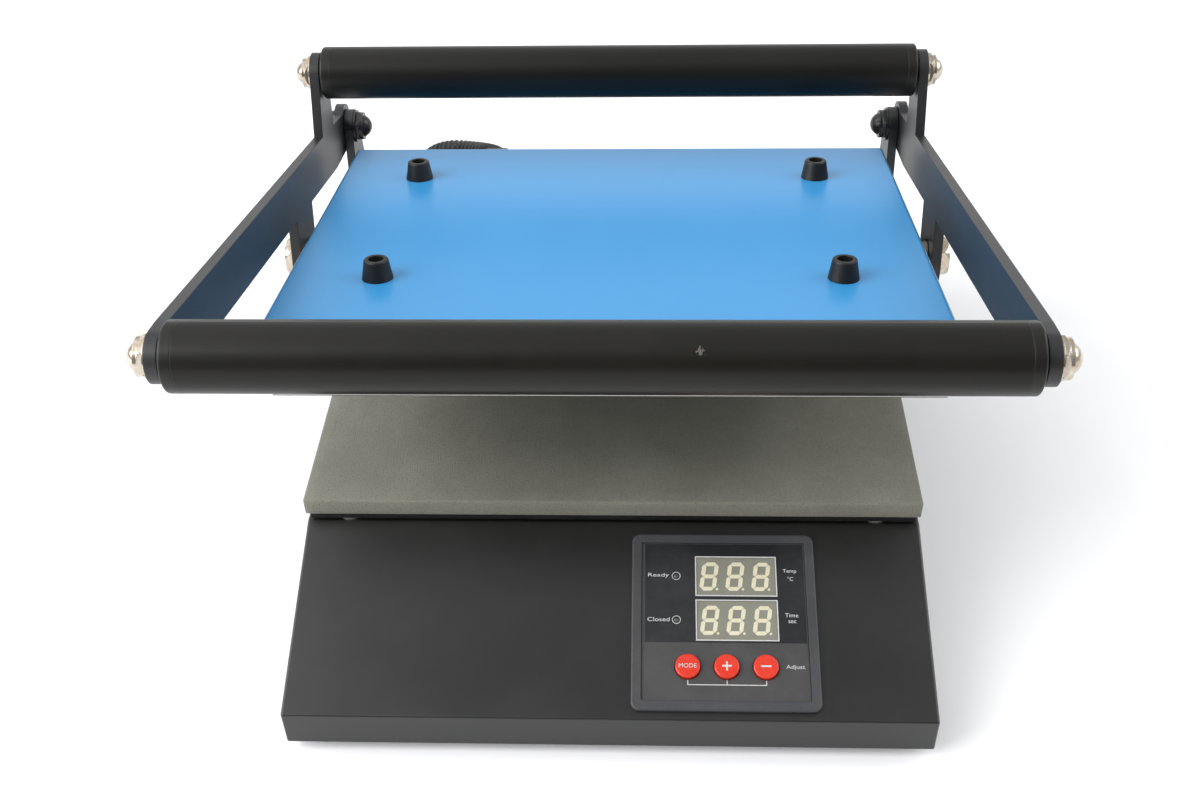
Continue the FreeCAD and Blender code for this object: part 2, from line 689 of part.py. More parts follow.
# ---- frame: arms, rods, rollers ------------------------------------------
def side_plate():
    fa, fu = FRONT_ROLL
    ra, ru = REAR_ROLL
    la, lu = LUG_PIN
    x0 = ARM_IN
    x1 = ARM_OUT
    beam = prism_x([(fa, fu - ARM_END_RADIUS), (fa + 34, ARM_BOTTOM), (-34, ARM_BOTTOM),
                    (-2, 0.3 - LOBE_RADIUS), (0, ARM_TOP), (fa + 8, ARM_TOP),
                    (fa, fu + ARM_END_RADIUS)], x0, x1)
    nose = rod_x(ARM_END_RADIUS, x0, x1, fa, fu)
    lobe = rod_x(LOBE_RADIUS, x0, x1, 0, 0)
    lug = box(x0, x1, la - LUG_WIDTH / 2, la + LUG_WIDTH / 2, lu, 0)
    lug_end = rod_x(LUG_WIDTH / 2, x0, x1, la, lu)
    foot = ARM_TOP - 2
    upright = prism_x([(ra - UPRIGHT_WIDTH / 2, ru), (ra + UPRIGHT_WIDTH / 2, ru),
                       (ra + UPRIGHT_WIDTH / 2 + 4, foot), (ra - UPRIGHT_WIDTH / 2 - 3, foot)], x0, x1)
    crown = rod_x(UPRIGHT_WIDTH / 2, x0, x1, ra, ru)
    whole = fuse([beam, nose, lobe, lug, lug_end, upright, crown])
    cuts = [rod_x(ROD_THREAD_RADIUS, x0 - 1, x1 + 1, fa, fu)]
    cuts.append(rod_x(ROD_THREAD_RADIUS, x0 - 1, x1 + 1, ra, ru))
    cuts.append(rod_x(PIVOT_RADIUS + RUN_FIT, x0 - 1, x1 + 1, 0, 0))
    cuts.append(rod_x(PIVOT_RADIUS + RUN_FIT, x0 - 1, x1 + 1, la, lu))
    return arm_to_press(whole.cut(cuts))


def axle_rod(spot):
    along, up = spot
    reach = ARM_OUT + WASHER_THICK + ACORN_HEX + 1.0
    middle = rod_x(ROD_RADIUS, -ARM_IN, ARM_IN, along, up)
    thread = rod_x(ROD_THREAD_RADIUS, -reach, reach, along, up)
    return arm_to_press(fuse([middle, thread]))


def axle_washers():
    rings = []
    for along, up in (FRONT_ROLL, REAR_ROLL):
        ring = washer(ARM_OUT, ARM_OUT + WASHER_THICK, WASHER_RADIUS, ROD_THREAD_RADIUS, along, up)
        rings.extend(both_sides(arm_to_press(ring)))
    return rings


def axle_acorn_nuts():
    nuts = []
    for along, up in (FRONT_ROLL, REAR_ROLL):
        nut = acorn(1, ARM_OUT + WASHER_THICK, ACORN_FLATS, along, up)
        nuts.extend(both_sides(arm_to_press(nut)))
    return nuts


def roller_tube(spot):
    along, up = spot
    reach = ROLL_HALF - CAP_LENGTH
    tube = rod_x(ROLL_RADIUS, -reach, reach, along, up)
    return arm_to_press(tube.cut(rod_x(ROLL_RADIUS - ROLL_WALL, -reach - 1, reach + 1, along, up)))


def roller_caps(spot):
    along, up = spot
    inner = ROLL_HALF - CAP_LENGTH
    rim = rod_x(ROLL_RADIUS, inner, ROLL_HALF, along, up)
    edges = [e for e in rim.Edges if e.BoundBox.XMin > ROLL_HALF - 0.01]
    rim = rim.makeFillet(CAP_ROUND, edges)
    spigot = rod_x(ROLL_RADIUS - ROLL_WALL, inner - CAP_SPIGOT, inner, along, up)
    cap = fuse([rim, spigot])
    cap = cap.cut(rod_x(ROD_RADIUS + RUN_FIT, inner - CAP_SPIGOT - 1, ROLL_HALF + 1, along, up))
    return both_sides(arm_to_press(cap))


# ---- heater, built flat in heater space ----------------------------------
HEAT_X = PLATEN_WIDTH / 2 - 1.0
HEAT_Y = PLATEN_DEPTH / 2 - 1.0
COIL_RADIUS = 3.5
COIL_PITCH = 40.0
COIL_SPAN = FEET_X - COIL_PITCH / 2 - 16.9
COIL_Z = HEATER_PLATE_THICK + COIL_RADIUS
CLAMP_TOP = HEATER_PLATE_THICK + 2 * COIL_RADIUS + 1.5
WOOL_THICK = 8.0


def post_spots():
    return [(x, y) for x in (-FEET_X, FEET_X) for y in (-FEET_Y, FEET_Y)]


def heater_plate():
    plate = box(-HEAT_X, HEAT_X, -HEAT_Y, HEAT_Y, 0, HEATER_PLATE_THICK)
    cuts = []
    for side in (-1, 1):
        inner = side * (HEAT_X - LUG_THREAD_DEPTH)
        cuts.append(rod_x(LUG_THREAD_RADIUS, inner, side * (HEAT_X + 1), LUG_BACK, LUG_PIN_HEIGHT))
    return heater_to_press(plate.cut(cuts))


def heating_element():
    rows = [-70.0 + COIL_PITCH * k for k in range(4)]
    edges = []
    for k, y in enumerate(rows):
        side = 1 if k % 2 == 0 else -1
        start = -side * COIL_SPAN
        if k == 0:
            start = -side * (COIL_SPAN + 22)
        finish = side * COIL_SPAN
        if k == len(rows) - 1:
            finish = side * (COIL_SPAN + 22)
        edges.append(Part.LineSegment(V(start, y, COIL_Z), V(finish, y, COIL_Z)).toShape())
        if k < len(rows) - 1:
            bulge = V(side * (COIL_SPAN + COIL_PITCH / 2), y + COIL_PITCH / 2, COIL_Z)
            edges.append(Part.Arc(V(finish, y, COIL_Z), bulge, V(finish, y + COIL_PITCH, COIL_Z)).toShape())
    path = Part.Wire(edges)
    first = V(-COIL_SPAN - 22, rows[0], COIL_Z)
    ring = Part.Wire([Part.Circle(first, V(1, 0, 0), COIL_RADIUS).toShape()])
    return heater_to_press(path.makePipeShell([ring], True, False))


def element_clamps():
    strips = []
    low = HEATER_PLATE_THICK
    for x in (-50.0, 0.0, 50.0):
        top = box(x - 5, x + 5, -86, 66, CLAMP_TOP - 1.5, CLAMP_TOP)
        legs = [box(x - 5, x + 5, -86, -84.5, low, CLAMP_TOP), box(x - 5, x + 5, 64.5, 66, low, CLAMP_TOP)]
        strips.append(heater_to_press(fuse([top] + legs)))
    return strips


def insulation_mat():
    mat = box(-HEAT_X + 6, HEAT_X - 6, -HEAT_Y + 6, 78, CLAMP_TOP, CLAMP_TOP + WOOL_THICK)
    cuts = [rod(POST_RADIUS + 1, V(x, y, 0), V(0, 0, 1), 60) for x, y in post_spots()]
    return heater_to_press(mat.cut(cuts))


def thermal_cutout():
    low = HEATER_PLATE_THICK
    can = rod(8, V(60, 92, low), V(0, 0, 1), 9)
    ears = box(48, 72, 88, 96, low, low + 1.2)
    return heater_to_press(fuse([can, ears]))


def temperature_probe():
    low = HEATER_PLATE_THICK
    sleeve = box(14, 40, 88, 94, low, low + 6)
    return heater_to_press(sleeve)


def heater_terminal_block():
    low = HEATER_PLATE_THICK
    return heater_to_press(box(-84, -44, 84, 100, low, low + 12))


def cover_posts():
    posts = []
    top = HEATER_TOTAL - COVER_SHEET
    for x, y in post_spots():
        post = rod(POST_RADIUS, V(x, y, HEATER_PLATE_THICK), V(0, 0, 1), top - HEATER_PLATE_THICK)
        post = post.cut(rod(SCREW_RADIUS, V(x, y, top - 8), V(0, 0, 1), 9))
        posts.append(heater_to_press(post))
    return posts


def heater_cover():
    half_x = PLATEN_WIDTH / 2
    half_y = PLATEN_DEPTH / 2
    outer = box(-half_x, half_x, -half_y, half_y, COVER_LOW, HEATER_TOTAL)
    rims = [e for e in outer.Edges if e.BoundBox.ZMax > COVER_LOW + 0.01]
    outer = outer.makeFillet(COVER_ROUND, rims)
    inner = box(-half_x + COVER_SHEET, half_x - COVER_SHEET, -half_y + COVER_SHEET,
                half_y - COVER_SHEET, COVER_LOW - 1, HEATER_TOTAL - COVER_SHEET)
    cuts = [rod(SCREW_RADIUS, V(x, y, 20), V(0, 0, 1), 30) for x, y in post_spots()]
    cuts.append(rod(GLAND_THREAD, V(HEATER_GLAND_X, half_y - 5, GLAND_Z), V(0, 1, 0), 10))
    return heater_to_press(outer.cut([inner] + cuts))


GLAND_Z = (COVER_LOW + HEATER_TOTAL - COVER_SHEET) / 2 + 0.2


def cover_feet():
    feet = []
    for x, y in post_spots():
        cone = Part.makeCone(CONE_BASE, CONE_TOP, CONE_HEIGHT, V(x, y, HEATER_TOTAL), V(0, 0, 1))
        tops = [e for e in cone.Edges if e.BoundBox.ZMin > HEATER_TOTAL + CONE_HEIGHT - 0.01]
        cone = cone.makeFillet(0.8, tops)
        cone = cone.cut(rod(3.6, V(x, y, HEATER_TOTAL + 3), V(0, 0, 1), 20))
        cone = cone.cut(rod(SCREW_RADIUS, V(x, y, HEATER_TOTAL - 1), V(0, 0, 1), 20))
        feet.append(heater_to_press(cone))
    return feet


def cover_foot_screws():
    screws = []
    for x, y in post_spots():
        low = HEATER_TOTAL - COVER_SHEET - 7
        shank = rod(SCREW_RADIUS, V(x, y, low), V(0, 0, 1), HEATER_TOTAL + 4 - low)
        head = rod(3.3, V(x, y, HEATER_TOTAL + 3), V(0, 0, 1), 2.2)
        head = head.cut(box(x - 3, x + 3, y - 0.4, y + 0.4, HEATER_TOTAL + 4.2, HEATER_TOTAL + 8))
        screws.append(heater_to_press(fuse([shank, head])))
    return screws


def lug_bolts():
    """Shoulder bolts that carry the heater in the arm lugs."""
    y = LUG_BACK
    z = LUG_PIN_HEIGHT
    head_face = ARM_OUT + SIDE_GAP
    thread = rod_x(LUG_THREAD_RADIUS, HEAT_X - LUG_THREAD_DEPTH, HEAT_X, y, z)
    shoulder = rod_x(PIVOT_RADIUS, HEAT_X, head_face, y, z)
    head = hexagon_x(LUG_HEAD_FLATS, head_face, head_face + LUG_HEAD_THICK, y, z)
    trim = Part.makeCone(LUG_HEAD_FLATS * 0.66, LUG_HEAD_FLATS * 0.49, LUG_HEAD_THICK,
                         V(head_face, y, z), V(1, 0, 0))
    return both_sides(heater_to_press(fuse([thread, shoulder, head.common(trim)])))


def lug_spacers():
    start = PLATEN_WIDTH / 2 + 0.5
    ring = washer(start, ARM_IN - SIDE_GAP, 9.5, PIVOT_RADIUS, LUG_BACK, LUG_PIN_HEIGHT)
    return both_sides(heater_to_press(ring))


# ---- conduit from the heater to the base ---------------------------------
def gland(sheet):
    """Gland along +Z: thread through the sheet, nut outside, lock nut inside."""
    nut = hexagon_z(GLAND_FLATS, 0, 6, 0, 0)
    dome = Part.makeCone(GLAND_FLATS * 0.47, CONDUIT_RADIUS + 1.6, GLAND_LENGTH - 6, V(0, 0, 6), V(0, 0, 1))
    thread = rod(GLAND_THREAD, V(0, 0, -6), V(0, 0, 1), 6)
    body = fuse([nut, dome, thread]).cut(rod(CONDUIT_RADIUS + RUN_FIT, V(0, 0, -7), V(0, 0, 1), 30))
    lock = hexagon_z(18.0, -sheet - 3, -sheet, 0, 0)
    return [body, lock.cut(rod(GLAND_THREAD, V(0, 0, -10), V(0, 0, 1), 20))]


def to_heater_wall(shape):
    turned = shape.copy()
    turned.rotate(V(0, 0, 0), V(1, 0, 0), -90)
    turned.translate(V(HEATER_GLAND_X, PLATEN_DEPTH / 2, GLAND_Z))
    return heater_to_press(turned)


def to_deck(shape):
    moved = shape.copy()
    moved.translate(V(DECK_GLAND[0], FRONT + DECK_GLAND[1], DECK_Z))
    return moved


def conduit_points():
    """Out of the heater's back wall, round to the left and down into the deck."""
    start = heater_point(HEATER_GLAND_X, PLATEN_DEPTH / 2 + 4, GLAND_Z)
    ahead = heater_point(HEATER_GLAND_X, PLATEN_DEPTH / 2 + 18.5, GLAND_Z)
    turn = ahead + V(-7.2, 12.3, -4.4)
    left = turn + V(-12.3, 7.2, -2.4)
    top = left + V(-12.8, 2.6, -0.3)
    end = V(DECK_GLAND[0], FRONT + DECK_GLAND[1], DECK_Z + 4)
    above = end + V(0, 0, 23)
    down = above + V(1.4, -1.2, 14.6)
    corner = down + V(8.0, -2.2, 11.8)
    return [start, ahead, turn, left, top, corner, down, above, end]


def conduit():
    points = conduit_points()
    edges = []
    at = points[0]
    for k in range(1, len(points) - 1):
        before = points[k - 1]
        here = points[k]
        after = points[k + 1]
        back = (before - here)
        ahead = (after - here)
        shorter = min(back.Length, ahead.Length)
        back = back * (1 / back.Length)
        ahead = ahead * (1 / ahead.Length)
        turn = math.pi - math.acos(max(-1.0, min(1.0, back.dot(ahead))))
        set_back = 0.45 * shorter
        radius = set_back / math.tan(turn / 2)
        print("conduit arc radius", round(radius, 1), "turn", round(math.degrees(turn), 1))
        first = here + back * set_back
        last = here + ahead * set_back
        bisector = back + ahead
        bisector = bisector * (1 / bisector.Length)
        centre = here + bisector * (radius / math.cos(turn / 2))
        middle = centre - bisector * radius
        edges.append(Part.LineSegment(at, first).toShape())
        edges.append(Part.Arc(first, middle, last).toShape())
        at = last
    edges.append(Part.LineSegment(at, points[-1]).toShape())
    path = Part.Wire(edges)
    heading = points[1] - points[0]
    ring = Part.Wire([Part.Circle(points[0], heading, CONDUIT_RADIUS).toShape()])
    tube = path.makePipeShell([ring], True, False)
    want = math.pi * CONDUIT_RADIUS * CONDUIT_RADIUS * path.Length
    print("conduit volume / (section x length)", round(tube.Volume / want, 5))
    return tube


# ---- write the parts -----------------------------------------------------
save("base_housing", base_housing())
save("base_bottom_plate", base_bottom_plate())
save("base_feet", base_feet())
save("base_foot_screws", base_foot_screws())
save("tray_standoffs", tray_standoffs())
save("pad_tray", pad_tray())
save("tray_screws", tray_screws())
save("silicone_pad", silicone_pad())

save("controller_housing", controller_housing())
save("controller_face", controller_face())
save("controller_board", controller_board())
save("temperature_display", display(DISPLAY_S[0]))
save("time_display", display(DISPLAY_S[1]))
save("indicator_lamps", indicator_lamps())
save("button_switches", button_switches())
save("mode_button", button(BUTTON_X[0]))
save("plus_button", button(BUTTON_X[1]))
save("minus_button", button(BUTTON_X[2]))

save("power_inlet", power_inlet())
save("inlet_pins", inlet_pins())
save("switch_housing", switch_housing())
save("power_rocker", power_rocker())
save("rocker_pin", rocker_pin())
save("fuse_holder", fuse_holder())
save("heater_relay", relay())
save("mains_terminal_block", mains_terminal_block())

save("bracket_left", bracket().mirror(V(0, 0, 0), V(1, 0, 0)))
save("bracket_right", bracket())
save("bracket_blocks", both_sides(bracket_block()))
save("bracket_bolts", bracket_bolts())
save("bracket_nuts", bracket_nuts())
save("pivot_bolts", pivot_bolts())
save("pivot_washers", pivot_washers())
save("pivot_nuts", pivot_nuts())

save("side_plate_left", side_plate().mirror(V(0, 0, 0), V(1, 0, 0)))
save("side_plate_right", side_plate())
save("front_axle", axle_rod(FRONT_ROLL))
save("rear_axle", axle_rod(REAR_ROLL))
save("axle_washers", axle_washers())
save("axle_acorn_nuts", axle_acorn_nuts())
save("front_roller", roller_tube(FRONT_ROLL))
save("front_roller_caps", roller_caps(FRONT_ROLL))
save("rear_roller", roller_tube(REAR_ROLL))
save("rear_roller_caps", roller_caps(REAR_ROLL))

save("heater_plate", heater_plate())
save("heating_element", heating_element())
save("element_clamps", element_clamps())
save("insulation_mat", insulation_mat())
save("thermal_cutout", thermal_cutout())
save("temperature_probe", temperature_probe())
save("heater_terminal_block", heater_terminal_block())
save("cover_posts", cover_posts())
save("heater_cover", heater_cover())
save("cover_feet", cover_feet())
save("cover_foot_screws", cover_foot_screws())
save("lug_bolts", lug_bolts())
save("lug_spacers", lug_spacers())
save("heater_gland", [to_heater_wall(s) for s in gland(COVER_SHEET)])
save("deck_gland", [to_deck(s) for s in gland(BASE_SHEET)])
save("cable_conduit", conduit())

print("arms shut at", round(-SHUT, 3), "degrees; heater ratio", round(HEATER_TILT / SHUT - 1, 5))
print("lug spot", LUG_SPOT, "pivot", PIVOT, "slope", round(SLOPE, 3))
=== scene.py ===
import math

import bmesh
import bpy
from mathutils import Matrix, Vector


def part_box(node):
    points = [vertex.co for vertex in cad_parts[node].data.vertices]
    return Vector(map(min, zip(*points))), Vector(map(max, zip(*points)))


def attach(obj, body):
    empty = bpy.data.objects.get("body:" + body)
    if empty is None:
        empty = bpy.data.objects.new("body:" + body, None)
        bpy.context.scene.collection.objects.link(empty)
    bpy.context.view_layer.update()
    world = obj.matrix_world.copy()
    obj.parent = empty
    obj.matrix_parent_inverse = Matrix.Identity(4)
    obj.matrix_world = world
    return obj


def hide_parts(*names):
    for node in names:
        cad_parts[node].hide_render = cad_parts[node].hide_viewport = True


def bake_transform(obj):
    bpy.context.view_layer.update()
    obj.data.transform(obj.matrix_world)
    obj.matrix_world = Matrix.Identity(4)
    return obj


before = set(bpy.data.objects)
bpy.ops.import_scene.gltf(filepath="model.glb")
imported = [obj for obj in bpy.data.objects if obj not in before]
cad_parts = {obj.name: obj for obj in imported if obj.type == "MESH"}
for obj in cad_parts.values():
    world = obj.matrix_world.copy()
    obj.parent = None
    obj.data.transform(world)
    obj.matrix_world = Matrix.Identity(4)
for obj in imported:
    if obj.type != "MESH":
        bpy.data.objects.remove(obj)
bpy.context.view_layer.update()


# ---- camera ---------------------------------------------------------------
# Stands at the front and looks down on the press at about forty degrees.
# Its lens is a normal one, turned a little to the left and slightly rolled.
CAMERA_PLACE = (0.0198, -0.589, 0.546)
CAMERA_TURN = math.radians(2.78)
CAMERA_DIP = math.radians(40.12)
CAMERA_ROLL = math.radians(-1.60)
LENS = 42.05               # millimetres, for a frame 36 mm wide
FRAME_WIDTH = 36.0

lens_view = bpy.data.cameras.new("camera")
lens_view.lens = LENS
lens_view.sensor_width = FRAME_WIDTH
camera = bpy.data.objects.new("camera", lens_view)
bpy.context.scene.collection.objects.link(camera)
camera.matrix_world = (
    Matrix.Translation(CAMERA_PLACE)
    @ Matrix.Rotation(CAMERA_TURN, 4, "Z")
    @ Matrix.Rotation(math.pi / 2 - CAMERA_DIP, 4, "X")
    @ Matrix.Rotation(CAMERA_ROLL, 4, "Z")
)
bpy.context.scene.camera = camera
bpy.context.scene.view_settings.view_transform = "Standard"


# ---- cable conduit --------------------------------------------------------
# Corrugated black nylon conduit that carries the heater's leads, held by a
# gland in the heater's back wall and another in the deck. It is made here in
# two lengths that meet beside the main pivot.
CONDUIT_ROUTE = [
    (-0.0700, 0.11807, 0.12708), (-0.0700, 0.13230, 0.12429), (-0.0772, 0.14460, 0.11989),
    (-0.0895, 0.15180, 0.11749), (-0.1023, 0.15440, 0.11719), (-0.1146, 0.1581, 0.1110),
    (-0.1226, 0.1603, 0.0992), (-0.1240, 0.1615, 0.0846), (-0.1240, 0.1615, 0.0616),
]
CONDUIT_CREST = 0.0060
CONDUIT_VALLEY = 0.0050
CONDUIT_PITCH = 0.0027
CONDUIT_SIDES = 28
CREST_ROUND = 0.00022
MEETING = 0.52             # where the two lengths meet, of the whole


def add_node(tree, kind, sockets=(), **settings):
    """One node, with its settings, and each socket linked or given a value."""
    made = tree.nodes.new(kind)
    for name, value in settings.items():
        setattr(made, name, value)
    for name, value in dict(sockets).items():
        if isinstance(value, bpy.types.NodeSocket):
            tree.links.new(value, made.inputs[name])
        else:
            made.inputs[name].default_value = value
    return made


def sums(tree, operation, first, second=0.5, third=0.0, clamp=False):
    """The value of one sum of up to three numbers."""
    return add_node(tree, "ShaderNodeMath", {0: first, 1: second, 2: third},
                    operation=operation, use_clamp=clamp).outputs[0]


def tint(tree, share, under, over):
    """One colour laid over another by a share from 0 to 1."""
    return add_node(tree, "ShaderNodeMix", {0: share, 6: under, 7: over},
                    data_type="RGBA").outputs[2]


def opaque(colour):
    """A colour with its full alpha."""
    return tuple(colour) + (1.0,)


def new_effect(name, takes, gives):
    """An empty shader group. takes are numbers by name, gives are socket kinds."""
    effect = bpy.data.node_groups.new(name, "ShaderNodeTree")
    for label, value in takes.items():
        kind = "NodeSocketVector" if isinstance(value, tuple) else "NodeSocketFloat"
        effect.interface.new_socket(label, in_out="INPUT", socket_type=kind).default_value = value
    for label, kind in gives.items():
        effect.interface.new_socket(label, in_out="OUTPUT", socket_type=kind)
    return effect, effect.nodes.new("NodeGroupInput"), effect.nodes.new("NodeGroupOutput")


def place_effect(tree, effect, sockets=()):
    """One shader group put into a material, with its own values."""
    return add_node(tree, "ShaderNodeGroup", sockets, node_tree=effect)


def place_spot(tree):
    """Where a point is on its own piece, so a pattern stays on it as it moves."""
    return add_node(tree, "ShaderNodeTexCoord").outputs["Object"]


def ramp(tree, value, low, high, first=0.0, last=1.0, smooth=False):
    """Goes from first to last as a value goes from low to high, and stays there."""
    return add_node(tree, "ShaderNodeMapRange",
                    {"Value": value, "From Min": low, "From Max": high,
                     "To Min": first, "To Max": last},
                    interpolation_type="SMOOTHSTEP" if smooth else "LINEAR").outputs["Result"]


def noise(tree, spot, scale, detail, roughness=0.5):
    """Soft uneven blotches from 0 to 1, scale of them to the metre."""
    return add_node(tree, "ShaderNodeTexNoise",
                    {"Vector": spot, "Scale": scale, "Detail": detail,
                     "Roughness": roughness}).outputs["Fac"]


# Fine grain of a moulded or sprayed skin, with broad uneven patches.
skin_grain, took, gave = new_effect(
    "skin grain", {"Size": 0.0006, "Patches": 0.04},
    {"Height": "NodeSocketFloat", "Patch": "NodeSocketFloat"})
spot = place_spot(skin_grain)
fine = noise(skin_grain, spot, sums(skin_grain, "DIVIDE", 1.0, took.outputs["Size"]), 2.0, 0.6)
broad = noise(skin_grain, spot, sums(skin_grain, "DIVIDE", 1.0, took.outputs["Patches"]), 5.0, 0.65)
skin_grain.links.new(fine, gave.inputs["Height"])
skin_grain.links.new(ramp(skin_grain, broad, 0.3, 0.7), gave.inputs["Patch"])

# Small rounding of every sharp edge, and where those edges are.
soft_edges, took, gave = new_effect(
    "soft edges", {"Radius": 0.0004},
    {"Normal": "NodeSocketVector", "Edge": "NodeSocketFloat"})
rounded = add_node(soft_edges, "ShaderNodeBevel", {"Radius": took.outputs["Radius"]}, samples=4)
flat = add_node(soft_edges, "ShaderNodeNewGeometry").outputs["Normal"]
agree = add_node(soft_edges, "ShaderNodeVectorMath",
                 {0: rounded.outputs["Normal"], 1: flat}, operation="DOT_PRODUCT")
soft_edges.links.new(rounded.outputs["Normal"], gave.inputs["Normal"])
soft_edges.links.new(ramp(soft_edges, agree.outputs["Value"], 0.995, 0.85), gave.inputs["Edge"])

# Rubbed edges: the edge mask, broken up where hands and cloths reach it.
edge_wear, took, gave = new_effect(
    "edge wear", {"Edge": 0.0, "Amount": 0.3}, {"Mask": "NodeSocketFloat"})
spot = place_spot(edge_wear)
broken = ramp(edge_wear, noise(edge_wear, spot, 160.0, 4.0, 0.7), 0.45, 0.7)
worn = sums(edge_wear, "MULTIPLY", took.outputs["Edge"], broken)
edge_wear.links.new(sums(edge_wear, "MULTIPLY", worn, took.outputs["Amount"], clamp=True),
                    gave.inputs["Mask"])

# Dust that settles on faces that look up, in uneven drifts.
settled_dust, took, gave = new_effect(
    "settled dust", {"Amount": 0.1}, {"Mask": "NodeSocketFloat"})
spot = place_spot(settled_dust)
drift = ramp(settled_dust, noise(settled_dust, spot, 22.0, 6.0, 0.75), 0.45, 0.75)
specks = add_node(settled_dust, "ShaderNodeTexVoronoi", {"Vector": spot, "Scale": 420.0})
speck = ramp(settled_dust, specks.outputs["Distance"], 0.16, 0.05)
facing = add_node(settled_dust, "ShaderNodeSeparateXYZ",
                  {0: add_node(settled_dust, "ShaderNodeNewGeometry").outputs["Normal"]})
upward = sums(settled_dust, "MAXIMUM", facing.outputs["Z"], 0.0)
both = sums(settled_dust, "MULTIPLY_ADD", speck, 0.5, drift)
lying = sums(settled_dust, "MULTIPLY", both, upward)
settled_dust.links.new(sums(settled_dust, "MULTIPLY", lying, took.outputs["Amount"], clamp=True),
                       gave.inputs["Mask"])

# Fine scratches and wipe marks, long in one direction.
wipe_marks, took, gave = new_effect(
    "wipe marks", {"Stretch": (1.0, 1.0, 1.0), "Amount": 0.3}, {"Mask": "NodeSocketFloat"})
spot = place_spot(wipe_marks)
long_way = add_node(wipe_marks, "ShaderNodeVectorMath",
                    {0: spot, 1: took.outputs["Stretch"]}, operation="MULTIPLY")
hairs = ramp(wipe_marks, noise(wipe_marks, long_way.outputs[0], 900.0, 3.0, 0.6), 0.55, 0.75)
wipe_marks.links.new(sums(wipe_marks, "MULTIPLY", hairs, took.outputs["Amount"]),
                     gave.inputs["Mask"])


def make_finish(name, colour, patch, roughness, spread=0.06, grain=0.0006, bump=0.00001,
                edge=0.0004, worn=0.0, worn_colour=(0.3, 0.3, 0.3), dust=0.0, metallic=0.0,
                specular=0.5, wiped=0.0, along=(1.0, 1.0, 1.0), patches=0.04):
    """A finish with grain, uneven patches, soft worn edges, wipe marks and dust."""
    finish = bpy.data.materials.new(name)
    finish.use_nodes = True
    finish.diffuse_color = opaque(colour)
    tree = finish.node_tree
    shader = tree.nodes["Principled BSDF"]
    skin = place_effect(tree, skin_grain, {"Size": grain, "Patches": patches})
    edges = place_effect(tree, soft_edges, {"Radius": edge})
    paint = tint(tree, skin.outputs["Patch"], opaque(colour), opaque(patch))
    rough = sums(tree, "MULTIPLY_ADD", skin.outputs["Patch"], spread, roughness - spread / 2)
    if worn:
        rubbed = place_effect(tree, edge_wear, {"Edge": edges.outputs["Edge"], "Amount": worn})
        paint = tint(tree, rubbed.outputs["Mask"], paint, opaque(worn_colour))
    if wiped:
        marks = place_effect(tree, wipe_marks, {"Stretch": along, "Amount": wiped})
        rough = sums(tree, "MULTIPLY_ADD", marks.outputs["Mask"], 0.25, rough)
    if dust:
        lying = place_effect(tree, settled_dust, {"Amount": dust})
        paint = tint(tree, lying.outputs["Mask"], paint, (0.42, 0.41, 0.39, 1.0))
        rough = sums(tree, "MULTIPLY_ADD", lying.outputs["Mask"], 0.4, rough, clamp=True)
    relief = add_node(tree, "ShaderNodeBump",
                      {"Height": skin.outputs["Height"], "Distance": bump, "Strength": 1.0,
                       "Normal": edges.outputs["Normal"]})
    tree.links.new(paint, shader.inputs["Base Color"])
    tree.links.new(rough, shader.inputs["Roughness"])
    tree.links.new(relief.outputs["Normal"], shader.inputs["Normal"])
    shader.inputs["Metallic"].default_value = metallic
    shader.inputs["Specular IOR Level"].default_value = specular
    return finish


def put_together(name, mesh, finish, body, smooth=True):
    """A finished piece: its mesh, its finish and the body that it rides on."""
    piece = bpy.data.objects.new(name, mesh)
    bpy.context.scene.collection.objects.link(piece)
    mesh.materials.clear()
    mesh.materials.append(finish)
    if smooth:
        mesh.shade_smooth()
    if body:
        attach(piece, body)
    return piece


lead_line = bpy.data.curves.new("conduit_line", "CURVE")
lead_line.dimensions = "3D"
lead_line.resolution_u = 60
run = lead_line.splines.new("NURBS")
run.points.add(len(CONDUIT_ROUTE) - 1)
for point, place in zip(run.points, CONDUIT_ROUTE):
    point.co = (*place, 1.0)
run.order_u = 3
run.use_endpoint_u = True
line_piece = bpy.data.objects.new("conduit_line", lead_line)
bpy.context.scene.collection.objects.link(line_piece)
bpy.context.view_layer.update()
line_mesh = bpy.data.meshes.new_from_object(line_piece)
line_points = [v.co.copy() for v in line_mesh.vertices]
bpy.data.objects.remove(line_piece)
bpy.data.meshes.remove(line_mesh)


def stations(points, step):
    """(place, heading) every step along the line."""
    found, gone, wanted = [], 0.0, 0.0
    for here, ahead in zip(points, points[1:]):
        length = (ahead - here).length
        while wanted <= gone + length and length > 0:
            found.append((here.lerp(ahead, (wanted - gone) / length), (ahead - here) / length))
            wanted += step
        gone += length
    return found


def corrugated_tube(name, places):
    """Rings that swell and narrow once a pitch, square to the line."""
    tube = bmesh.new()
    across = Vector((1.0, 0.0, 0.0))
    rings = []
    for index, (place, heading) in enumerate(places):
        across = (across - heading * across.dot(heading)).normalized()
        other = heading.cross(across)
        radius = (CONDUIT_VALLEY, CONDUIT_CREST, CONDUIT_CREST, CONDUIT_VALLEY)[index % 4]
        rings.append([
            tube.verts.new(place + radius * (across * math.cos(t) + other * math.sin(t)))
            for t in (math.tau * k / CONDUIT_SIDES for k in range(CONDUIT_SIDES))
        ])
    for low, high in zip(rings, rings[1:]):
        for k in range(CONDUIT_SIDES):
            after = (k + 1) % CONDUIT_SIDES
            tube.faces.new((low[k], low[after], high[after], high[k]))
    for ring, turn in ((rings[0], -1), (rings[-1], 1)):
        tube.faces.new(ring[::turn])
    tube.normal_update()
    mesh = bpy.data.meshes.new(name)
    tube.to_mesh(mesh)
    tube.free()
    return mesh


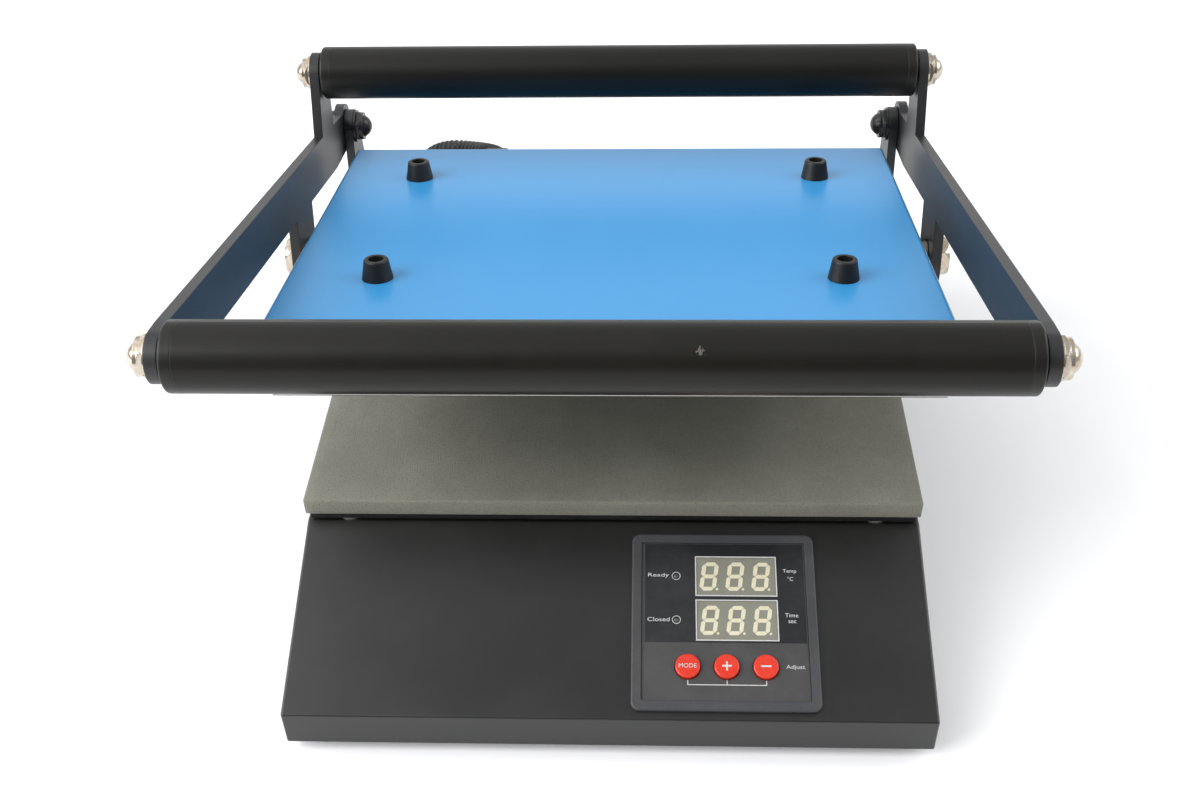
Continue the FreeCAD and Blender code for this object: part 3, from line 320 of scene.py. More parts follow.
nylon = make_finish("corrugated nylon", (0.012, 0.012, 0.013), (0.02, 0.02, 0.021), 0.42,
                    grain=0.0009, bump=0.00002, edge=0.0002, dust=0.25, patches=0.02)
places = stations(line_points, CONDUIT_PITCH / 4)
cut = int(len(places) * MEETING) // 4 * 4
conduit_upper = put_together("conduit_upper", corrugated_tube("conduit_upper", places[:cut + 1]),
                             nylon, None)
conduit_lower = put_together("conduit_lower", corrugated_tube("conduit_lower", places[cut:]),
                             nylon, None)
for piece in (conduit_upper, conduit_lower):
    rounding = piece.modifiers.new("crests", "BEVEL")
    rounding.width = CREST_ROUND
    rounding.segments = 2
    rounding.limit_method = "ANGLE"
    rounding.angle_limit = math.radians(25)
    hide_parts("cable_conduit")
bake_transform(conduit_upper)
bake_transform(conduit_lower)


# ---- studio ---------------------------------------------------------------
# A pale floor that runs out of sight and a white room, brightest low down at
# the back, dim in front and lighter overhead at the left, with two soft lamps.
FLOOR_REACH = 6.0
FLOOR_DROP = 0.0001        # below the rubber feet
ROOM_LIGHT = 0.79
BACK_SWEEP = 0.45          # added low down at the back
FRONT_SHADE = -0.68
LEFT_SKY = 0.95            # added high up at the left

floor_mesh = bpy.data.meshes.new("floor")
floor_mesh.from_pydata(
    [(x * FLOOR_REACH, y * FLOOR_REACH, -FLOOR_DROP)
     for x, y in ((-1, -1), (1, -1), (1, 1), (-1, 1))], [], [(0, 1, 2, 3)])
floor = bpy.data.objects.new("floor", floor_mesh)
bpy.context.scene.collection.objects.link(floor)
floor_mesh.materials.append(make_finish("pale floor", (0.88, 0.88, 0.89), (0.9, 0.9, 0.91), 0.7,
                                        grain=0.002, bump=0.0, edge=0.0, patches=0.5))

room = bpy.data.worlds.new("white room")
room.use_nodes = True
bpy.context.scene.world = room
walls = room.node_tree
heading = add_node(walls, "ShaderNodeSeparateXYZ",
                   {0: add_node(walls, "ShaderNodeTexCoord").outputs["Generated"]})
low_down = ramp(walls, heading.outputs["Z"], 0.16, 0.32, first=1.0, last=0.0, smooth=True)
behind = ramp(walls, heading.outputs["Y"], 0.2, 0.8, smooth=True)
before = ramp(walls, heading.outputs["Y"], -0.35, -0.95, smooth=True)
aside = ramp(walls, sums(walls, "ABSOLUTE", heading.outputs["X"]), 0.06, 0.42,
             first=1.0, last=0.55, smooth=True)
leftward = ramp(walls, heading.outputs["X"], 0.02, -0.38, smooth=True)
high = ramp(walls, heading.outputs["Z"], 0.45, 0.85, smooth=True)
lit = sums(walls, "MULTIPLY_ADD", sums(walls, "MULTIPLY", low_down, behind), BACK_SWEEP, ROOM_LIGHT)
lit = sums(walls, "MULTIPLY_ADD", sums(walls, "MULTIPLY", before, aside), FRONT_SHADE, lit)
lit = sums(walls, "MULTIPLY_ADD", sums(walls, "MULTIPLY", leftward, high), LEFT_SKY, lit)
seen = add_node(walls, "ShaderNodeLightPath").outputs["Is Camera Ray"]
walls.links.new(sums(walls, "MULTIPLY_ADD", seen, sums(walls, "SUBTRACT", 1.0, lit), lit),
                walls.nodes["Background"].inputs["Strength"])
walls.nodes["Background"].inputs["Color"].default_value = (0.985, 0.99, 1.0, 1.0)


def soft_lamp(name, place, aim, size, power):
    """A large rectangular lamp that looks at a point of the press."""
    lamp = bpy.data.lights.new(name, "AREA")
    lamp.shape = "RECTANGLE"
    lamp.size, lamp.size_y = size
    lamp.energy = power
    stand = bpy.data.objects.new(name, lamp)
    bpy.context.scene.collection.objects.link(stand)
    stand.location = place
    stand.rotation_euler = (Vector(aim) - Vector(place)).to_track_quat("-Z", "Y").to_euler()


soft_lamp("left lamp", (-1.8, -0.7, 1.35), (0, -0.05, 0.1), (2.0, 1.8), 64)
soft_lamp("right lamp", (2.0, 0.3, 1.5), (0, 0, 0.1), (1.8, 1.5), 24)


# ---- base housing and bottom plate ----------------------------------------
# Folded steel sheet with a satin black enamel, and a zinc plated plate that
# closes it from below. Four rubber feet are screwed on under the corners.
def dress(finish, *nodes):
    """Gives each of these CAD nodes its finish."""
    for node in nodes:
        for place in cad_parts[node].material_slots:
            place.material = finish


enamel = make_finish("satin black enamel", (0.0043, 0.0043, 0.0039),
                     (0.0056, 0.0055, 0.0050), 0.36, spread=0.03, grain=0.0007,
                     bump=0.000012, edge=0.0006, worn=0.5, worn_colour=(0.05, 0.05, 0.05),
                     dust=0.012, wiped=0.2, along=(1, 0.08, 1), patches=0.09, specular=0.6)
dress(enamel, "base_housing")

zinc = make_finish("zinc plate", (0.55, 0.55, 0.54), (0.44, 0.44, 0.45), 0.36, spread=0.16,
                   grain=0.0012, bump=0.00001, metallic=1.0, worn=0.3,
                   worn_colour=(0.7, 0.7, 0.7), patches=0.006)
dress(zinc, "base_bottom_plate", "base_foot_screws")

foot_rubber = make_finish("foot rubber", (0.012, 0.012, 0.012), (0.02, 0.02, 0.019), 0.62,
                          grain=0.0008, bump=0.00003, edge=0.0005, worn=0.3,
                          worn_colour=(0.05, 0.05, 0.05), dust=0.12, patches=0.008)
dress(foot_rubber, "base_feet")


# ---- pad tray -------------------------------------------------------------
# Black oxide steel plate on four turned zinc posts, held by countersunk
# screws from above. The pad lies on it and hides the screws.
oxide = make_finish("black oxide", (0.014, 0.014, 0.015), (0.024, 0.023, 0.022), 0.34,
                    spread=0.1, grain=0.0008, bump=0.000008, edge=0.0004, worn=0.9,
                    worn_colour=(0.22, 0.22, 0.22), dust=0.05, metallic=0.35)
dress(oxide, "pad_tray")
dress(zinc, "tray_standoffs", "tray_screws")


# ---- silicone pad ---------------------------------------------------------
# One sheet of grey silicone foam, knife cut on its sides, a little fuller in
# the middle than at its edges. It is glued to the tray.
PAD_EDGE = 0.0011          # rounding of the top and bottom edges
PAD_SINK = 0.00035         # how far the edges of the top lie below its middle
PAD_GRID = 0.006
KNIFE_MARKS = 0.00012      # depth of the cut's ripple on the sides

pad_low, pad_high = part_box("silicone_pad")


def rounded_slab(name, low, high, edge, sink, step):
    """A slab with rounded edges and a close grid over its top."""
    half = (high - low) / 2
    middle = (high + low) / 2

    def spread(reach):
        count = max(2, round(2 * reach / step))
        inner = reach - edge
        return [-reach, *[2 * inner * k / count - inner for k in range(count + 1)], reach]

    xs, ys = spread(half.x), spread(half.y)
    slab = bmesh.new()
    sheets = []
    for level in (1, -1):
        sheets.append([[slab.verts.new((x, y, level * half.z)) for x in xs] for y in ys])
    for sheet, turn in zip(sheets, (1, -1)):
        for row, above in zip(sheet, sheet[1:]):
            for k in range(len(row) - 1):
                slab.faces.new((row[k], row[k + 1], above[k + 1], above[k])[::turn])
    top, under = sheets
    last_x, last_y = len(xs) - 1, len(ys) - 1
    rim = [(0, k) for k in range(last_x + 1)] + [(j, last_x) for j in range(1, last_y + 1)]
    rim += [(last_y, k) for k in range(last_x - 1, -1, -1)]
    rim += [(j, 0) for j in range(last_y - 1, 0, -1)]
    belts = []
    for share in (0.0, 0.12, 0.5, 0.88, 1.0):
        if share in (0.0, 1.0):
            sheet = top if share == 0.0 else under
            belts.append([sheet[j][k] for j, k in rim])
        else:
            belts.append([slab.verts.new((xs[k], ys[j], half.z * (1 - 2 * share))) for j, k in rim])
    for upper, lower in zip(belts, belts[1:]):
        for k in range(len(rim)):
            after = (k + 1) % len(rim)
            slab.faces.new((upper[after], upper[k], lower[k], lower[after]))
    for v in slab.verts:
        x, y, z = v.co
        rim_x = max(0.0, abs(x) - (half.x - edge)) / edge
        rim_y = max(0.0, abs(y) - (half.y - edge)) / edge
        rim_z = max(0.0, abs(z) - (half.z - edge)) / edge
        far = math.sqrt(rim_x ** 2 + rim_y ** 2 + rim_z ** 2)
        if far > 1.0:
            v.co.x -= math.copysign(rim_x * (1 - 1 / far) * edge, x)
            v.co.y -= math.copysign(rim_y * (1 - 1 / far) * edge, y)
            v.co.z -= math.copysign(rim_z * (1 - 1 / far) * edge, z)
        if z > 0:
            out_x, out_y = abs(x) / half.x, abs(y) / half.y
            wave = 0.5 + 0.5 * math.sin(61 * x + 2.0 * math.sin(43 * y)) * math.sin(52 * y + 1.3)
            v.co.z -= sink * (0.55 * max(out_x, out_y) ** 6 + 0.3 * wave)
        elif abs(z) < half.z:
            wave = math.sin(90 * (x + y)) * math.sin(70 * (x - y) + 0.7)
            ripple = KNIFE_MARKS * (1 + wave)
            v.co.x -= math.copysign(ripple, x) if abs(x) > half.x - edge else 0
            v.co.y -= math.copysign(ripple, y) if abs(y) > half.y - edge else 0
    slab.normal_update()
    mesh = bpy.data.meshes.new(name)
    slab.to_mesh(mesh)
    slab.free()
    mesh.transform(Matrix.Translation(middle))
    return mesh


foam = bpy.data.materials.new("silicone foam")
foam.use_nodes = True
foam.diffuse_color = (0.155, 0.156, 0.123, 1.0)
tree = foam.node_tree
shader = tree.nodes["Principled BSDF"]
spot = place_spot(tree)
pores = add_node(tree, "ShaderNodeTexVoronoi", {"Vector": spot, "Scale": 1150.0})
small = add_node(tree, "ShaderNodeTexVoronoi", {"Vector": spot, "Scale": 2600.0})
cell = ramp(tree, pores.outputs["Distance"], 0.12, 0.42)
tiny = ramp(tree, small.outputs["Distance"], 0.15, 0.4)
skin = place_effect(tree, skin_grain, {"Size": 0.0011, "Patches": 0.05})
open_cells = sums(tree, "MULTIPLY_ADD", tiny, 0.45, cell)
body_colour = tint(tree, skin.outputs["Patch"],
                   (0.152, 0.153, 0.120, 1.0), (0.190, 0.190, 0.151, 1.0))
body_colour = tint(tree, sums(tree, "MULTIPLY", skin.outputs["Height"], 0.5), body_colour,
                   (0.220, 0.220, 0.182, 1.0))
# Painted shade: the open pores are darkened toward near black, for the shade that falls inside
# them.
pore_shade_share = sums(tree, "MULTIPLY", sums(tree, "SUBTRACT", 1.0, cell), 0.55)
body_colour = tint(tree, pore_shade_share, body_colour, (0.06, 0.06, 0.05, 1.0))
lying = place_effect(tree, settled_dust, {"Amount": 0.12})
body_colour = tint(tree, lying.outputs["Mask"], body_colour, (0.5, 0.5, 0.48, 1.0))
relief = add_node(tree, "ShaderNodeBump",
                  {"Height": open_cells, "Distance": 0.00012, "Strength": 0.9})
tree.links.new(body_colour, shader.inputs["Base Color"])
tree.links.new(sums(tree, "MULTIPLY_ADD", skin.outputs["Patch"], 0.1, 0.78),
               shader.inputs["Roughness"])
tree.links.new(relief.outputs["Normal"], shader.inputs["Normal"])
shader.inputs["Sheen Weight"].default_value = 0.15
shader.inputs["Sheen Roughness"].default_value = 0.5
shader.inputs["Specular IOR Level"].default_value = 0.35

pad = put_together("pad", rounded_slab("pad", pad_low, pad_high, PAD_EDGE, PAD_SINK, PAD_GRID),
                   foam, "base")
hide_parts("silicone_pad")


# ---- controller housing and face ------------------------------------------
# Moulded dark grey case let into the control slope, with a printed film over
# its face: a glossy black window round the displays, and dark grey below it.
case_grey = make_finish("case plastic", (0.034, 0.036, 0.041), (0.042, 0.044, 0.049), 0.46,
                        grain=0.0005, bump=0.00002, edge=0.0006, worn=0.25,
                        worn_colour=(0.1, 0.1, 0.105), dust=0.06, patches=0.02)
dress(case_grey, "controller_housing")

LIP_TOP = Vector((0.0, -0.1965, 0.0253))    # foot of the control slope
SLOPE = math.atan2(0.0323, 0.0937)
UP_SLOPE = Vector((0.0, math.cos(SLOPE), math.sin(SLOPE)))
OFF_SLOPE = Vector((0.0, -math.sin(SLOPE), math.cos(SLOPE)))
FACE_TOP = 0.00160         # film above the base's sheet
WINDOW = (0.0168, 0.0922, 0.0366, 0.0867)   # left, right, low and high edges

film = bpy.data.materials.new("printed film")
film.use_nodes = True
film.diffuse_color = (0.012, 0.013, 0.016, 1.0)
tree = film.node_tree
shader = tree.nodes["Principled BSDF"]
spot = place_spot(tree)
right = add_node(tree, "ShaderNodeSeparateXYZ", {0: spot}).outputs["X"]
from_lip = add_node(tree, "ShaderNodeVectorMath", {0: spot, 1: tuple(LIP_TOP)},
                    operation="SUBTRACT")
up = add_node(tree, "ShaderNodeVectorMath", {0: from_lip.outputs[0], 1: tuple(UP_SLOPE)},
              operation="DOT_PRODUCT").outputs["Value"]
left_edge, right_edge, low_edge, high_edge = WINDOW
across = sums(tree, "COMPARE", right, (left_edge + right_edge) / 2, (right_edge - left_edge) / 2)
upward = sums(tree, "COMPARE", up, (low_edge + high_edge) / 2, (high_edge - low_edge) / 2)
inside = sums(tree, "MULTIPLY", across, upward)
skin = place_effect(tree, skin_grain, {"Size": 0.0004, "Patches": 0.015})
grey_film = tint(tree, skin.outputs["Patch"], (0.04, 0.0395, 0.039, 1.0), (0.052, 0.051, 0.05, 1.0))
paint = tint(tree, inside, grey_film, (0.0075, 0.008, 0.010, 1.0))
lying = place_effect(tree, settled_dust, {"Amount": 0.05})
paint = tint(tree, lying.outputs["Mask"], paint, (0.4, 0.4, 0.4, 1.0))
marks = place_effect(tree, wipe_marks, {"Stretch": (0.2, 1.0, 1.0), "Amount": 0.3})
rough = sums(tree, "MULTIPLY_ADD", inside, -0.14, 0.42)
rough = sums(tree, "MULTIPLY_ADD", marks.outputs["Mask"], 0.15, rough)
edges = place_effect(tree, soft_edges, {"Radius": 0.0002})
relief = add_node(tree, "ShaderNodeBump",
                  {"Height": skin.outputs["Height"], "Distance": 0.000006,
                   "Normal": edges.outputs["Normal"]})
tree.links.new(paint, shader.inputs["Base Color"])
tree.links.new(rough, shader.inputs["Roughness"])
tree.links.new(relief.outputs["Normal"], shader.inputs["Normal"])
dress(film, "controller_face")

board_green = make_finish("solder mask", (0.015, 0.12, 0.045), (0.02, 0.16, 0.06), 0.32,
                          grain=0.0008, bump=0.00002, patches=0.004, wiped=0.2)
dress(board_green, "controller_board")


# ---- displays -------------------------------------------------------------
# Two modules of three unlit digits each behind a grey window. Each digit has
# seven cream segments and a point, and the film has a thin white frame there.
DISPLAY_X = 0.060
DISPLAY_UP = (0.0701, 0.0478)
DISPLAY_SIZE = (0.0376, 0.0194)
DISPLAY_TOP = 0.00130
DIGIT_PITCH = 0.0123
DIGITS_SHIFT = -0.0004     # of all three digits, from the window's middle
DIGIT_SIZE = (0.0079, 0.0146)
SEGMENT = 0.00198
SEGMENT_GAP = 0.00012
POINT_RADIUS = 0.00062
POINT_PLACE = (0.0016, -0.0002)             # from the digit's lower right corner
LEAN = math.tan(math.radians(8.0))
FRAME_LINE = 0.00055
FRAME_SUNK = 0.00003       # the windows' frames, into the film and out of it
FRAME_PROUD = 0.00010
INK_SUNK = 0.00002         # printing starts this far inside the film
INK_PROUD = 0.00004


def on_slope(right, up, off):
    """A place on the control slope, from its foot and its middle line."""
    return Vector((right, 0, 0)) + LIP_TOP + UP_SLOPE * up + OFF_SLOPE * off


def inked_shapes(name, outlines, low, high):
    """Thin raised shapes on the slope, from (right, up) outlines."""
    ink = bmesh.new()
    for outline in outlines:
        foot = [ink.verts.new(on_slope(a, b, low)) for a, b in outline]
        top = [ink.verts.new(on_slope(a, b, high)) for a, b in outline]
        ink.faces.new(top)
        ink.faces.new(foot[::-1])
        for k in range(len(outline)):
            after = (k + 1) % len(outline)
            ink.faces.new((foot[k], foot[after], top[after], top[k]))
    bmesh.ops.recalc_face_normals(ink, faces=ink.faces)
    mesh = bpy.data.meshes.new(name)
    ink.to_mesh(mesh)
    ink.free()
    return mesh


def bar(a, b, width, gap):
    """A six sided segment from a to b, a gap short of both, with pointed ends."""
    (ax, ay), (bx, by) = a, b
    length = math.hypot(bx - ax, by - ay)
    ux, uy = (bx - ax) / length, (by - ay) / length
    ax, ay, bx, by = ax + gap * ux, ay + gap * uy, bx - gap * ux, by - gap * uy
    w = width / 2
    return [(ax, ay), (ax + w * (ux + uy), ay + w * (uy - ux)),
            (bx - w * (ux - uy), by - w * (uy + ux)), (bx, by),
            (bx - w * (ux + uy), by - w * (uy - ux)), (ax + w * (ux - uy), ay + w * (uy + ux))]


def digit(right, up):
    """Seven segments and a point, leaning to the right."""
    w, h = (DIGIT_SIZE[0] - SEGMENT) / 2, (DIGIT_SIZE[1] - SEGMENT) / 2
    lines = [((-w, h), (w, h)), ((-w, 0), (w, 0)), ((-w, -h), (w, -h)),
             ((-w, 0), (-w, h)), ((w, 0), (w, h)), ((-w, -h), (-w, 0)), ((w, -h), (w, 0))]
    shapes = [bar(a, b, SEGMENT, SEGMENT_GAP) for a, b in lines]
    shapes.append([(w + POINT_PLACE[0] + POINT_RADIUS * math.cos(t),
                    POINT_PLACE[1] - h + POINT_RADIUS * math.sin(t))
                   for t in (math.tau * k / 16 for k in range(16))])
    return [[(right + x + LEAN * y, up + y) for x, y in shape] for shape in shapes]


def strip(left, right, low, high):
    """A rectangle's four corners."""
    return [(left, low), (right, low), (right, high), (left, high)]


def frame_strips(middle, up, size, line):
    """Four strips round a window."""
    w, h = size[0] / 2, size[1] / 2
    return [strip(middle - w - line, middle + w + line, up + h, up + h + line),
            strip(middle - w - line, middle + w + line, up - h - line, up - h),
            strip(middle - w - line, middle - w, up - h, up + h),
            strip(middle + w, middle + w + line, up - h, up + h)]


smoked = make_finish("display window", (0.19, 0.19, 0.152), (0.225, 0.222, 0.18), 0.3, spread=0.04,
                     grain=0.0006, bump=0.000004, edge=0.0002, patches=0.01, dust=0.05)
segments = make_finish("unlit segments", (0.6, 0.56, 0.4), (0.68, 0.64, 0.48), 0.4, spread=0.05,
                       grain=0.0005, bump=0.0, edge=0.00008, patches=0.003)
white_ink = make_finish("white ink", (0.50, 0.51, 0.51), (0.60, 0.60, 0.59), 0.5, spread=0.08,
                        grain=0.0003, bump=0.000006, edge=0.00005, patches=0.002)
dress(smoked, "temperature_display", "time_display")
for label, up in zip(("temperature", "time"), DISPLAY_UP):
    shapes = []
    for k in (-1, 0, 1):
        shapes += digit(DISPLAY_X + DIGITS_SHIFT + k * DIGIT_PITCH, up)
    put_together(label + "_digits",
                 inked_shapes(label + "_digits", shapes, DISPLAY_TOP - INK_SUNK,
                              DISPLAY_TOP + INK_PROUD),
                 segments, "base", smooth=False)
    put_together(label + "_frame",
                 inked_shapes(label + "_frame",
                              frame_strips(DISPLAY_X, up, DISPLAY_SIZE, FRAME_LINE),
                              FACE_TOP - FRAME_SUNK, FACE_TOP + FRAME_PROUD),
                 white_ink, "base", smooth=False)


# ---- lamps, buttons and print ---------------------------------------------
# Two smoked lamps in printed rings, and three red buttons with white marks,
# tied by a printed bracket. Plain words name the displays, lamps and buttons.
LAMP_X = 0.0316
BUTTON_X = (0.0366, 0.0546, 0.0726)
BUTTON_UP = 0.0247
BUTTON_TOP = 0.00360
LAMP_RING = (0.00175, 0.00205)              # inner and outer radius
RING_SIDES = 24
LINE_HALF = 0.0002         # half the width of the printed bracket's line
BRACKET_UP = (0.0160, 0.0164, 0.0184)       # its line's two edges, and its posts' tops
MARK_HALF = 0.00042
LETTER_DEPTH = 0.01        # each way, while a letter is about one unit tall
LETTER_PRESS = 0.004       # what that depth is scaled by on the film
PLUS_REACH = 0.0022
MINUS_REACH = 0.0024

lamp_lens = make_finish("lamp lens", (0.05, 0.05, 0.052), (0.08, 0.078, 0.075), 0.15, spread=0.05,
                        grain=0.0004, bump=0.000004, patches=0.001)
dress(lamp_lens, "indicator_lamps")
red_gloss = make_finish("red button plastic", (0.60, 0.026, 0.010), (0.66, 0.036, 0.014), 0.27,
                        spread=0.06, grain=0.0006, bump=0.000008, edge=0.0004, worn=0.15,
                        worn_colour=(0.8, 0.25, 0.2), dust=0.04, patches=0.004)
dress(red_gloss, "mode_button", "plus_button", "minus_button")


def lettering(words, right, up, tall, off, wide=None):
    """Outlined words laid on the slope, centred, as one mesh."""
    line = bpy.data.curves.new("words", "FONT")
    line.body = words
    line.size = 1.0
    line.align_x = "CENTER"
    line.align_y = "CENTER"
    line.extrude = LETTER_DEPTH
    piece = bpy.data.objects.new("words", line)
    bpy.context.scene.collection.objects.link(piece)
    bpy.context.view_layer.update()
    mesh = bpy.data.meshes.new_from_object(piece)
    bpy.data.objects.remove(piece)
    xs, ys = [v.co.x for v in mesh.vertices], [v.co.y for v in mesh.vertices]
    scale_up = tall / (max(ys) - min(ys))
    scale_right = scale_up if wide is None else wide / (max(xs) - min(xs))
    for v in mesh.vertices:
        v.co = on_slope(right + (v.co.x - (max(xs) + min(xs)) / 2) * scale_right,
                        up + (v.co.y - (max(ys) + min(ys)) / 2) * scale_up,
                        off + v.co.z * LETTER_PRESS)
    return mesh


def ring_strips(right, up, inner, outer):
    """A printed ring as short four cornered pieces."""
    around = [math.tau * k / RING_SIDES for k in range(RING_SIDES + 1)]
    return [[(right + inner * math.cos(a), up + inner * math.sin(a)),
             (right + outer * math.cos(a), up + outer * math.sin(a)),
             (right + outer * math.cos(b), up + outer * math.sin(b)),
             (right + inner * math.cos(b), up + inner * math.sin(b))]
            for a, b in zip(around, around[1:])]


def one_mesh(name, meshes):
    """Several meshes as one, and the loose ones cleared away."""
    whole = bmesh.new()
    for mesh in meshes:
        whole.from_mesh(mesh)
        bpy.data.meshes.remove(mesh)
    joined = bpy.data.meshes.new(name)
    whole.to_mesh(joined)
    whole.free()
    return joined


line_low, line_high, post_high = BRACKET_UP
printed = [strip(BUTTON_X[0] - LINE_HALF, BUTTON_X[2] + LINE_HALF, line_low, line_high)]
printed += [strip(x - LINE_HALF, x + LINE_HALF, line_high, post_high) for x in BUTTON_X]
for up in DISPLAY_UP:
    printed += ring_strips(LAMP_X, up, *LAMP_RING)
ink = FACE_TOP + INK_SUNK
panel_print = one_mesh("panel_print", [
    inked_shapes("lines", printed, FACE_TOP - INK_SUNK, FACE_TOP + INK_PROUD),
    lettering("Temp", 0.0856, 0.0728, 0.0024, ink, 0.0064),
    lettering("°C", 0.0858, 0.0690, 0.0020, ink),
    lettering("Time", 0.0856, 0.0505, 0.0020, ink, 0.0062),
    lettering("sec", 0.0858, 0.0473, 0.0014, ink),
    lettering("Ready", 0.0232, 0.0703, 0.0024, ink, 0.0100),
    lettering("Closed", 0.0232, 0.0480, 0.0020, ink, 0.0104),
    lettering("Adjust", 0.0862, 0.0249, 0.0024, ink, 0.0086),
])
put_together("panel_print", panel_print, white_ink, "base", smooth=False)


def button_mark(name, mesh, body):
    """A white mark that rides on its button."""
    put_together(name, mesh, white_ink, body, smooth=False)


def flat_mark(name, strips):
    """A mark of thin strips on a button's top."""
    return inked_shapes(name, strips, BUTTON_TOP - INK_SUNK, BUTTON_TOP + INK_PROUD)


mode_x, plus_x, minus_x = BUTTON_X
low, high = BUTTON_UP - MARK_HALF, BUTTON_UP + MARK_HALF
word = lettering("MODE", mode_x, BUTTON_UP, 0.0020, BUTTON_TOP + INK_SUNK, 0.0082)
button_mark("mode_mark", word, "mode_key")
button_mark("plus_mark", flat_mark("plus_mark", [
    strip(plus_x - PLUS_REACH, plus_x + PLUS_REACH, low, high),
    strip(plus_x - MARK_HALF, plus_x + MARK_HALF, high, BUTTON_UP + PLUS_REACH),
    strip(plus_x - MARK_HALF, plus_x + MARK_HALF, BUTTON_UP - PLUS_REACH, low),
]), "plus_key")
button_mark("minus_mark", flat_mark("minus_mark", [
    strip(minus_x - MINUS_REACH, minus_x + MINUS_REACH, low, high),
]), "minus_key")

switch_black = make_finish("moulded black plastic", (0.014, 0.014, 0.015),
                           (0.022, 0.022, 0.022), 0.4, grain=0.0007, bump=0.00002,
                           edge=0.0005, worn=0.2, worn_colour=(0.06, 0.06, 0.06),
                           dust=0.08, patches=0.01)
dress(switch_black, "button_switches")


# ---- mains inlet, switch, fuse and relay ----------------------------------
# Snap-in inlet, rocker switch and fuse holder in the rear wall and the relay
# behind it, moulded in black nylon. Nickel pins, and a red rocker on its pin.
dress(switch_black, "power_inlet", "switch_housing", "fuse_holder", "heater_relay")
bright_nickel = make_finish("bright nickel", (0.58, 0.54, 0.47), (0.40, 0.32, 0.23), 0.12,
                            spread=0.1, grain=0.0015, bump=0.000004, edge=0.0005, metallic=1.0,
                            patches=0.004, wiped=0.15)
dress(bright_nickel, "inlet_pins")
dress(zinc, "rocker_pin")
dress(red_gloss, "power_rocker")


# ---- terminal blocks, cutout and wool -------------------------------------
# Glazed ceramic blocks carry the mains and heater leads, and pressed glass
# wool lies over the element under the cover.
ceramic = make_finish("glazed ceramic", (0.72, 0.70, 0.65), (0.62, 0.59, 0.53), 0.28, spread=0.12,
                      grain=0.0012, bump=0.00003, edge=0.0006, patches=0.006, worn=0.4,
                      worn_colour=(0.4, 0.37, 0.32))
dress(ceramic, "mains_terminal_block", "thermal_cutout", "heater_terminal_block")
wool = make_finish("pressed glass wool", (0.74, 0.71, 0.62), (0.60, 0.56, 0.46), 0.95,
                   spread=0.08, grain=0.0004, bump=0.0003, edge=0.001, patches=0.012,
                   wiped=0.6, along=(0.15, 1, 1))
dress(wool, "insulation_mat")


# ---- brackets and main pivot ----------------------------------------------
# Sheet steel brackets in a fine black powder coat, bolted through sawn
# aluminium blocks to the base's sides. They carry the arms on two bolts.
powder = make_finish("fine black powder coat", (0.008, 0.0083, 0.0092),
                     (0.0105, 0.0108, 0.012), 0.42, spread=0.05, grain=0.0005,
                     bump=0.00003, edge=0.0006, worn=0.5, worn_colour=(0.08, 0.08, 0.085),
                     dust=0.015, specular=0.5)
dress(powder, "bracket_left", "bracket_right")
sawn_bar = make_finish("sawn aluminium bar", (0.5, 0.5, 0.51), (0.42, 0.42, 0.43), 0.38, spread=0.1,
                       grain=0.0004, bump=0.00002, metallic=1.0, patches=0.008, wiped=0.8,
                       along=(1, 1, 0.05))
dress(sawn_bar, "bracket_blocks")
dress(oxide, "bracket_bolts", "pivot_bolts", "pivot_washers", "pivot_nuts")
dress(zinc, "bracket_nuts")


# ---- glands ---------------------------------------------------------------
# Moulded black nylon glands, each a hexagon with a domed collar and a lock nut
# inside the sheet, that hold the conduit in the deck and the heater's back.
dress(switch_black, "deck_gland", "heater_gland")


# ---- side arms ------------------------------------------------------------
# Two laser cut steel plates in the same powder coat, rubbed paler along
# their top edges by hands, that turn on the brackets.
dress(powder, "side_plate_left", "side_plate_right")


# ---- rollers --------------------------------------------------------------
# Steel tubes with a smooth satin coat, turned by the hands that grip them,
# on axles through both arms, with cap nuts outside and plastic end caps.
ROLLER_HIGHLIGHT = (0.0372, -0.1915, 0.2335)            # a painted highlight, a lamp's reflection, on the front roller's coat
ROLLER_HIGHLIGHT_REACH = 0.0042
ROLLER_HIGHLIGHT_RAGGED = 0.0060       # how much of that reach its ragged edge takes back
ROLLER_HIGHLIGHT_EDGE = 0.0002
COAT = {"colour": (0.0058, 0.0054, 0.0040), "patch": (0.0072, 0.0068, 0.0050),
        "roughness": 0.35, "spread": 0.03, "grain": 0.0012, "bump": 0.000008, "edge": 0.0008,
        "worn": 0.1, "worn_colour": (0.03, 0.03, 0.03), "dust": 0.006, "wiped": 0.25,
        "along": (0.06, 1, 1), "patches": 0.08, "specular": 0.24}

dress(make_finish("satin roller coat", **COAT), "rear_roller")
# The front roller's coat carries a painted highlight: a ragged pale spot that stands in for a
# reflection of the room's light.
painted_highlight_coat = make_finish("chipped roller coat", **COAT)
tree = painted_highlight_coat.node_tree
shader = tree.nodes["Principled BSDF"]
coat_colour = shader.inputs["Base Color"].links[0].from_socket
spot = place_spot(tree)
away = add_node(tree, "ShaderNodeVectorMath", {0: spot, 1: ROLLER_HIGHLIGHT}, operation="DISTANCE")
reach = sums(tree, "MULTIPLY_ADD", noise(tree, spot, 900.0, 3.0), -ROLLER_HIGHLIGHT_RAGGED, ROLLER_HIGHLIGHT_REACH)
painted_highlight = ramp(tree, sums(tree, "SUBTRACT", reach, away.outputs["Value"]), -ROLLER_HIGHLIGHT_EDGE, ROLLER_HIGHLIGHT_EDGE)
